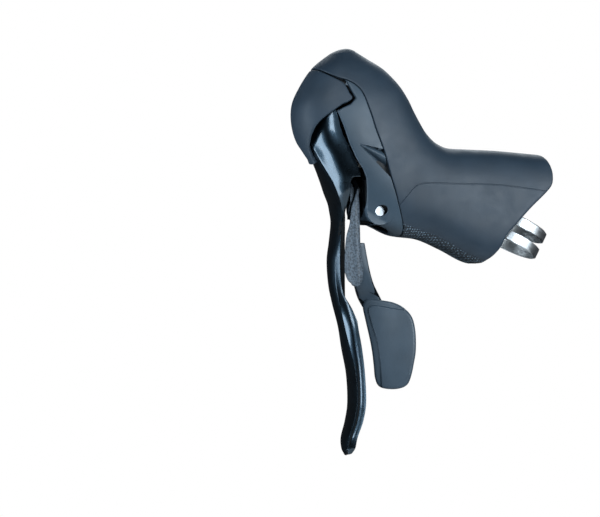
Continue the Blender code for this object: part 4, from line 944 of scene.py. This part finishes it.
def knurled_rubber(name, colour, roughness, grain_mm, grain_depth_mm):
    """Moulded rubber with raised dots where the piece's knurl mask is set; the dots' tops carry a painted
    highlight and the rubber between them painted shade.
    """
    material = moulded(name, colour, roughness, grain_mm, grain_depth_mm)
    colours = bpy.context.scene.lever_finishes
    tree = material.node_tree
    shader = tree.nodes["shader"]
    spot = tree.nodes["spot"].outputs["Object"]
    tone = shader.inputs["Base Color"].links[0].from_socket
    grain = shader.inputs["Normal"].links[0].from_socket
    cells = node(tree, "ShaderNodeTexVoronoi", {
        "Vector": spot, "Scale": per_mm(KNURL_MM), "Randomness": 0.3})
    round_dots = node(tree, "ShaderNodeMapRange", {
        "Value": cells.outputs["Distance"], "From Min": 0.5, "From Max": 0.26},
        interpolation_type="SMOOTHSTEP")
    mask = node(tree, "ShaderNodeAttribute", attribute_name="knurl").outputs["Fac"]
    dots = node(tree, "ShaderNodeMath", {0: round_dots.outputs[0], 1: mask}, operation="MULTIPLY").outputs[0]
    # Painted shade: the rubber between the dots is darkened towards the gap colour
    shade_share = node(tree, "ShaderNodeMath", {0: mask, 1: 0.8}, operation="MULTIPLY").outputs[0]
    # Painted highlight: the dots' tops are lightened towards the top colour
    tops = node(tree, "ShaderNodeMix", {
        FACTOR: dots, COLOUR_A: tone, COLOUR_B: shade(colours.knurl_top)},
        data_type="RGBA")
    gaps = node(tree, "ShaderNodeMix", {
        FACTOR: shade_share, COLOUR_A: tone, COLOUR_B: shade(colours.knurl_gap)},
        data_type="RGBA")
    both = node(tree, "ShaderNodeMix", {
        FACTOR: dots, COLOUR_A: gaps.outputs[MIXED], COLOUR_B: tops.outputs[MIXED]},
        data_type="RGBA")
    raised = node(tree, "ShaderNodeBump", {
        "Height": dots, "Normal": grain, "Strength": 1.0, "Distance": KNURL_HEIGHT_MM * MM})
    tree.links.new(shader.inputs["Base Color"], both.outputs[MIXED])
    tree.links.new(shader.inputs["Normal"], raised.outputs[0])
    return material


def lacquered(name, colour):
    """Metallic base coat under clear lacquer outside; where the inside mask is set, painted shade: a near-black
    colour with no metal or coat.
    """
    material, tree, spot = new_material(name)
    primer = bpy.context.scene.lever_finishes.primer
    inside = node(tree, "ShaderNodeAttribute", attribute_name="inside").outputs["Fac"]
    outside = node(tree, "ShaderNodeMapRange", {"Value": inside, "To Min": 1.0, "To Max": 0.0}).outputs[0]
    clouds = node(tree, "ShaderNodeTexNoise", {
        "Vector": spot, "Scale": per_mm(CLOUD_MM), "Detail": 2.0, "Roughness": 0.5})
    flake = node(tree, "ShaderNodeMix", {
        FACTOR: clouds.outputs["Fac"], COLOUR_A: shade(colour, 0.85), COLOUR_B: shade(colour, 1.2)},
        data_type="RGBA")
    # Painted shade: the channel's inside takes a near-black colour in place of the metallic coat
    coat = node(tree, "ShaderNodeMix", {
        FACTOR: inside, COLOUR_A: flake.outputs[MIXED], COLOUR_B: shade(primer)},
        data_type="RGBA")
    haze = node(tree, "ShaderNodeTexNoise", {
        "Vector": spot, "Scale": per_mm(HAZE_MM), "Detail": 5.0, "Roughness": 0.7})
    soft = node(tree, "ShaderNodeMapRange", {
        "Value": haze.outputs["Fac"], "From Min": 0.3, "From Max": 0.75, "To Min": 0.26, "To Max": 0.34})
    gloss = node(tree, "ShaderNodeMath", {0: inside, 1: soft.outputs[0]}, operation="MAXIMUM")
    peel = node(tree, "ShaderNodeTexNoise", {
        "Vector": spot, "Scale": per_mm(PEEL_MM), "Detail": 2.0, "Roughness": 0.5})
    bump = node(tree, "ShaderNodeBump", {
        "Height": peel.outputs["Fac"], "Strength": 1.0, "Distance": PEEL_DEPTH_MM * MM})
    shader = node(tree, "ShaderNodeBsdfPrincipled", {
        "Base Color": coat.outputs[MIXED], "Metallic": outside, "Roughness": gloss.outputs[0],
        "Coat Weight": outside, "Coat Roughness": 0.12, "Normal": bump.outputs[0]})
    node(tree, "ShaderNodeOutputMaterial", {"Surface": shader.outputs[0]})
    return material


def metal(name, colour, roughness, grain_mm, grain_depth_mm, lines_across=None, detail=2.0):
    """Bare, plated or anodised metal: fine lines across a direction, or an even grain."""
    material, tree, spot = new_material(name)
    source = spot
    if lines_across is not None:
        run = node(tree, "ShaderNodeVectorMath", {0: spot, 1: lines_across}, operation="DOT_PRODUCT")
        drawn_out = node(tree, "ShaderNodeVectorMath", {0: spot, 1: LINE_STRETCH}, operation="MULTIPLY")
        source = node(tree, "ShaderNodeVectorMath", {
            0: drawn_out.outputs[0], 1: run.outputs["Value"]}, operation="ADD").outputs[0]
    grain = node(tree, "ShaderNodeTexNoise", {
        "Vector": source, "Scale": per_mm(grain_mm), "Detail": detail, "Roughness": 0.65}).outputs["Fac"]
    clouds = node(tree, "ShaderNodeTexNoise", {
        "Vector": spot, "Scale": per_mm(STAIN_MM), "Detail": 3.0, "Roughness": 0.5})
    tone = node(tree, "ShaderNodeMix", {
        FACTOR: clouds.outputs["Fac"], COLOUR_A: shade(colour, 0.86), COLOUR_B: shade(colour, 1.08)},
        data_type="RGBA")
    gloss = node(tree, "ShaderNodeMapRange", {
        "Value": grain, "From Min": NOISE_LOW, "From Max": NOISE_HIGH, "To Min": roughness - 0.07,
        "To Max": roughness + 0.09})
    bump = node(tree, "ShaderNodeBump", {"Height": grain, "Strength": 1.0, "Distance": grain_depth_mm * MM})
    shader = node(tree, "ShaderNodeBsdfPrincipled", {
        "Base Color": tone.outputs[MIXED], "Metallic": 1.0, "Roughness": gloss.outputs[0],
        "Normal": bump.outputs[0]})
    node(tree, "ShaderNodeOutputMaterial", {"Surface": shader.outputs[0]})
    return material


PLASTIC_IOR = 1.5  # rubber, nylon, acetal and paint all lie near it
NOISE_LOW, NOISE_HIGH = 0.3, 0.7  # nearly all of a noise lies between these
GLOSS_SPREAD = 0.06  # how far a moulding's roughness varies either way
FACTOR, COLOUR_A, COLOUR_B = 0, 6, 7  # inputs of the Mix node when it mixes colours
MIXED = 2  # its output
# Sizes of the patterns in millimetres. A real mould's grain is near 0.1 mm and real polishing lines are near
# 0.02 mm, too fine to show: both are drawn three to twelve times as coarse, in the table of finishes below.
PATCH_MM = 14.0  # areas of slightly lighter and darker moulding
HANDLED_MM = 6.0  # areas rubbed smoother by hands
GRAIN_HIGHLIGHT = 3.4  # painted highlight: the grain tops are painted this many times as bright
KNURL_MM = 1.15  # spacing of the knurled dots, as on real grips
KNURL_HEIGHT_MM = 0.35
CLOUD_MM = 20.0  # uneven spread of the metal flake
HAZE_MM = 3.0  # faint haze in the lacquer
PEEL_MM = 1.6  # ripples of sprayed lacquer
PEEL_DEPTH_MM = 0.0015
STAIN_MM = 8.0  # uneven tone of bare metal
LINE_STRETCH = (0.03, 0.03, 0.03)  # how little a polishing line changes along its run

# For each slot of the record, and for the floor: the function that makes the finish, the material's name, its
# roughness, the size and depth of its grain in millimetres, and what else that function takes
FINISHES = {
    # Moulded thermoplastic rubber: a matt, slightly blue black with soft wide highlights
    "hood_rubber": (knurled_rubber, ("moulded_hood_rubber", 0.5, 0.34, 0.03)),
    # Injection-moulded nylon, satin: a little lighter and tighter in its highlights than the rubber
    "cover_plastic": (moulded, ("moulded_cover_nylon", 0.46, 0.28, 0.02)),
    # The same nylon from a finely etched mould: the widest and softest highlights of the shells
    "cap_plastic": (moulded, ("moulded_cap_nylon", 0.56, 0.26, 0.016)),
    # The same nylon, rubbed smooth by fingers: a satin face, lighter towards the lamps
    "pad_plastic": (moulded, ("moulded_paddle_nylon", 0.42, 0.3, 0.02)),
    # Nylon from a coarsely etched mould: a grey speckle of painted highlights on the grain tops, drawn at 0.8 mm
    # for a real 0.5 mm
    "grained_plastic": (moulded, ("grained_paddle_nylon", 0.5, 0.8, 0.2, 0.1, 1.0)),
    # Glass-filled nylon, as moulded: dull black, patchy where the glass comes to the surface
    "nylon": (moulded, ("glass_filled_nylon", 0.55, 0.5, 0.03, 0.2)),
    # Moulded rubber: dull black with hardly any highlight
    "bumper_rubber": (moulded, ("moulded_bumper_rubber", 0.75, 0.5, 0.03)),
    # Machined acetal: milky white with a waxy gloss
    "acetal": (moulded, ("machined_acetal", 0.42, 0.7, 0.006, 0.04)),
    # Aluminium sprayed with metallic base and clear lacquer: long sharp highlights over a near black, with painted
    # shade inside the channel
    "gloss_lacquer": (lacquered, ("sprayed_gloss_lacquer",)),
    # Stainless strip polished round its length: bright, with highlights drawn out across the strip
    "band_steel": (metal, ("polished_stainless_strip", 0.34, 0.25, 0.001, tuple(BAR_AXIS))),
    # Turned steel: bright, with fine rings about the pin
    "bright_steel": (metal, ("turned_bright_steel", 0.46, 0.2, 0.001, (0.0, 1.0, 0.0))),
    # Zinc plated steel: an even pale grey shine
    "plated_steel": (metal, ("zinc_plated_steel", 0.3, 0.6, 0.003)),
    # Black oxide on steel: dark, with clear small highlights
    "black_steel": (metal, ("black_oxide_steel", 0.36, 0.5, 0.003)),
    # Black anodised casting: dark, broken up by the cast grain
    "cast_aluminium": (metal, ("black_anodised_casting", 0.42, 0.7, 0.012, None, 4.0)),
    # Sintered bronze: warm and dull, grainy from the pressed powder
    "bronze": (metal, ("sintered_bronze", 0.38, 0.4, 0.006, None, 4.0)),
    # Rolled paint: an even, matt white
    "floor": (moulded, ("painted_floor", 0.7, 3.0, 0.02, 0.015)),
}
made_finishes = {}


def finish_of(slot_name):
    """Material for one of the record's slots, made once."""
    if slot_name not in made_finishes:
        make, (name, *rest) = FINISHES[slot_name]
        colour = tuple(getattr(bpy.context.scene.lever_finishes, slot_name))
        made_finishes[slot_name] = make(name, colour, *rest)
    return made_finishes[slot_name]


def dress_frame_nodes():
    """Give every node of the frame its slot's procedural material."""
    for entry in frame["record"]["subparts"]:
        thing = frame["nodes"][entry["node"]]
        for holder in thing.material_slots:
            holder.material = finish_of(entry["material_slot"])


def aim(thing, target):
    """Turn a lamp or camera towards a point."""
    thing.rotation_euler = (Vector(target) - thing.location).to_track_quat("-Z", "Y").to_euler()


def add_lamp(name, spot, target, size, watts, colour):
    """Soft rectangular lamp."""
    lamp = bpy.data.lights.new(name, "AREA")
    lamp.shape = "RECTANGLE"
    lamp.size, lamp.size_y = size
    lamp.energy = watts
    lamp.color = colour
    thing = bpy.data.objects.new(name, lamp)
    thing.location = spot
    bpy.context.scene.collection.objects.link(thing)
    aim(thing, target)


def build_world(s):
    """Faint light from all round, with plain white behind the object."""
    world = bpy.data.worlds.new("studio")
    bpy.context.scene.world = world
    world.use_nodes = True
    tree = world.node_tree
    tree.nodes.clear()
    seen = node(tree, "ShaderNodeLightPath").outputs["Is Camera Ray"]
    dim = node(tree, "ShaderNodeBackground", {"Color": shade(s.room), "Strength": s.room_light})
    white = node(tree, "ShaderNodeBackground", {"Color": shade((1.0, 1.0, 1.0)), "Strength": 1.0})
    mix = node(tree, "ShaderNodeMixShader", {0: seen, 1: dim.outputs[0], 2: white.outputs[0]})
    node(tree, "ShaderNodeOutputWorld", {"Surface": mix.outputs[0]})


def build_floor(s):
    """Pale round floor with a shallow groove near its rim, far enough down not to show in the gloss."""
    around = np.linspace(0.0, math.tau, FLOOR_SIDES, endpoint=False)
    points = [(FLOOR_MIDDLE + radius * x, radius * y, s.floor_z - drop) for radius, drop in FLOOR_PROFILE
              for x, y in zip(np.cos(around), np.sin(around))]
    mesh = bpy.data.meshes.new("floor")
    faces = ring_faces(len(FLOOR_PROFILE), FLOOR_SIDES)
    mesh.from_pydata(points, [], [*faces, tuple(range(FLOOR_SIDES))])
    mesh.materials.append(finish_of("floor"))
    floor = bpy.data.objects.new("floor", mesh)
    bpy.context.scene.collection.objects.link(floor)


def build_stage(s):
    """World, floor, lamps and camera."""
    bpy.context.scene.view_settings.view_transform = "Standard"
    towards = Vector((math.sin(s.azimuth), -math.cos(s.azimuth), 0.0))
    right = Vector((math.cos(s.azimuth), math.sin(s.azimuth), 0.0))
    up = Vector((0.0, 0.0, 1.0))
    middle = Vector((s.aim_x, 0.0, s.aim_z))
    build_world(s)
    build_floor(s)
    for name, (bearing, height, distance, size, colour) in LAMPS.items():
        across, rise = math.radians(bearing), math.radians(height)
        level = right * math.sin(across) + towards * math.cos(across)
        spot = middle + (level * math.cos(rise) + up * math.sin(rise)) * distance
        add_lamp(name, spot, middle, size, getattr(s, name + "_light"), getattr(s, colour))
    camera = bpy.data.objects.new("camera", bpy.data.cameras.new("camera"))
    bpy.context.scene.collection.objects.link(camera)
    camera.location = middle + towards * s.distance
    camera.data.lens = camera.data.sensor_width * s.distance / s.frame_width
    camera.data.clip_end = FAR
    aim(camera, middle)
    bpy.context.scene.camera = camera


class LEVER_OT_hood(bpy.types.Operator):
    """Build the rubber hood"""

    bl_idname = "lever.hood"
    bl_label = "Rubber Hood"

    def execute(self, context):
        build_hood(in_millimetres(context.scene.lever_shells))
        return {"FINISHED"}


class LEVER_OT_side_covers(bpy.types.Operator):
    """Build both side covers"""

    bl_idname = "lever.side_covers"
    bl_label = "Side Covers"

    def execute(self, context):
        build_side_covers(in_millimetres(context.scene.lever_shells))
        return {"FINISHED"}


class LEVER_OT_head_cap(bpy.types.Operator):
    """Build the head cap"""

    bl_idname = "lever.head_cap"
    bl_label = "Head Cap"

    def execute(self, context):
        build_head_cap(in_millimetres(context.scene.lever_shells))
        return {"FINISHED"}


class LEVER_OT_blade(bpy.types.Operator):
    """Build the lever blade"""

    bl_idname = "lever.blade"
    bl_label = "Lever Blade"

    def execute(self, context):
        build_blade(in_millimetres(context.scene.lever_shells))
        return {"FINISHED"}


class LEVER_OT_large_paddle(bpy.types.Operator):
    """Build the large paddle's pad and neck"""

    bl_idname = "lever.large_paddle"
    bl_label = "Large Paddle"

    def execute(self, context):
        build_pad(in_millimetres(context.scene.lever_shells))
        build_neck()
        return {"FINISHED"}


class LEVER_OT_small_paddle(bpy.types.Operator):
    """Build the small paddle's grained cover"""

    bl_idname = "lever.small_paddle"
    bl_label = "Small Paddle"

    def execute(self, context):
        build_small_paddle()
        return {"FINISHED"}


class LEVER_OT_clamp_band(bpy.types.Operator):
    """Build the clamp band and its threaded lug"""

    bl_idname = "lever.clamp_band"
    bl_label = "Clamp Band"

    def execute(self, context):
        build_band_strip(in_millimetres(context.scene.lever_shells))
        build_band_nut()
        return {"FINISHED"}


class LEVER_OT_inner_parts(bpy.types.Operator):
    """Give the mechanism and the bracket their finishes"""

    bl_idname = "lever.inner_parts"
    bl_label = "Inner Parts"

    def execute(self, context):
        dress_frame_nodes()
        return {"FINISHED"}


class LEVER_OT_stage(bpy.types.Operator):
    """Build world, floor, lamps and camera"""

    bl_idname = "lever.stage"
    bl_label = "Stage"

    def execute(self, context):
        build_stage(context.scene.lever_stage)
        return {"FINISHED"}


OPERATORS = [LEVER_OT_hood, LEVER_OT_side_covers, LEVER_OT_head_cap, LEVER_OT_blade, LEVER_OT_large_paddle,
             LEVER_OT_small_paddle, LEVER_OT_clamp_band, LEVER_OT_inner_parts, LEVER_OT_stage]
SETTINGS = {"lever_shells": ShellSettings, "lever_finishes": FinishSettings, "lever_stage": StageSettings}


class LEVER_PT_panel(bpy.types.Panel):
    """Sidebar panel listing every builder and its settings"""

    bl_label = "Shift Lever"
    bl_idname = "LEVER_PT_panel"
    bl_space_type = "VIEW_3D"
    bl_region_type = "UI"
    bl_category = "Shift Lever"

    def draw(self, context):
        for operator in OPERATORS:
            self.layout.operator(operator.bl_idname)
        for name, group in SETTINGS.items():
            for key in group.__annotations__:
                self.layout.prop(getattr(context.scene, name), key)


CLASSES = [*SETTINGS.values(), *OPERATORS, LEVER_PT_panel]


def register():
    """Register every class and hang the settings on the scene."""
    for item in CLASSES:
        bpy.utils.register_class(item)
    for name, group in SETTINGS.items():
        setattr(bpy.types.Scene, name, PointerProperty(type=group))


def unregister():
    """Undo register."""
    for name in SETTINGS:
        delattr(bpy.types.Scene, name)
    for item in reversed(CLASSES):
        bpy.utils.unregister_class(item)


def main():
    """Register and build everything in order."""
    register()
    for operator in OPERATORS:
        getattr(bpy.ops.lever, operator.bl_idname.split(".")[1])()


if __name__ == "__main__":
    main()
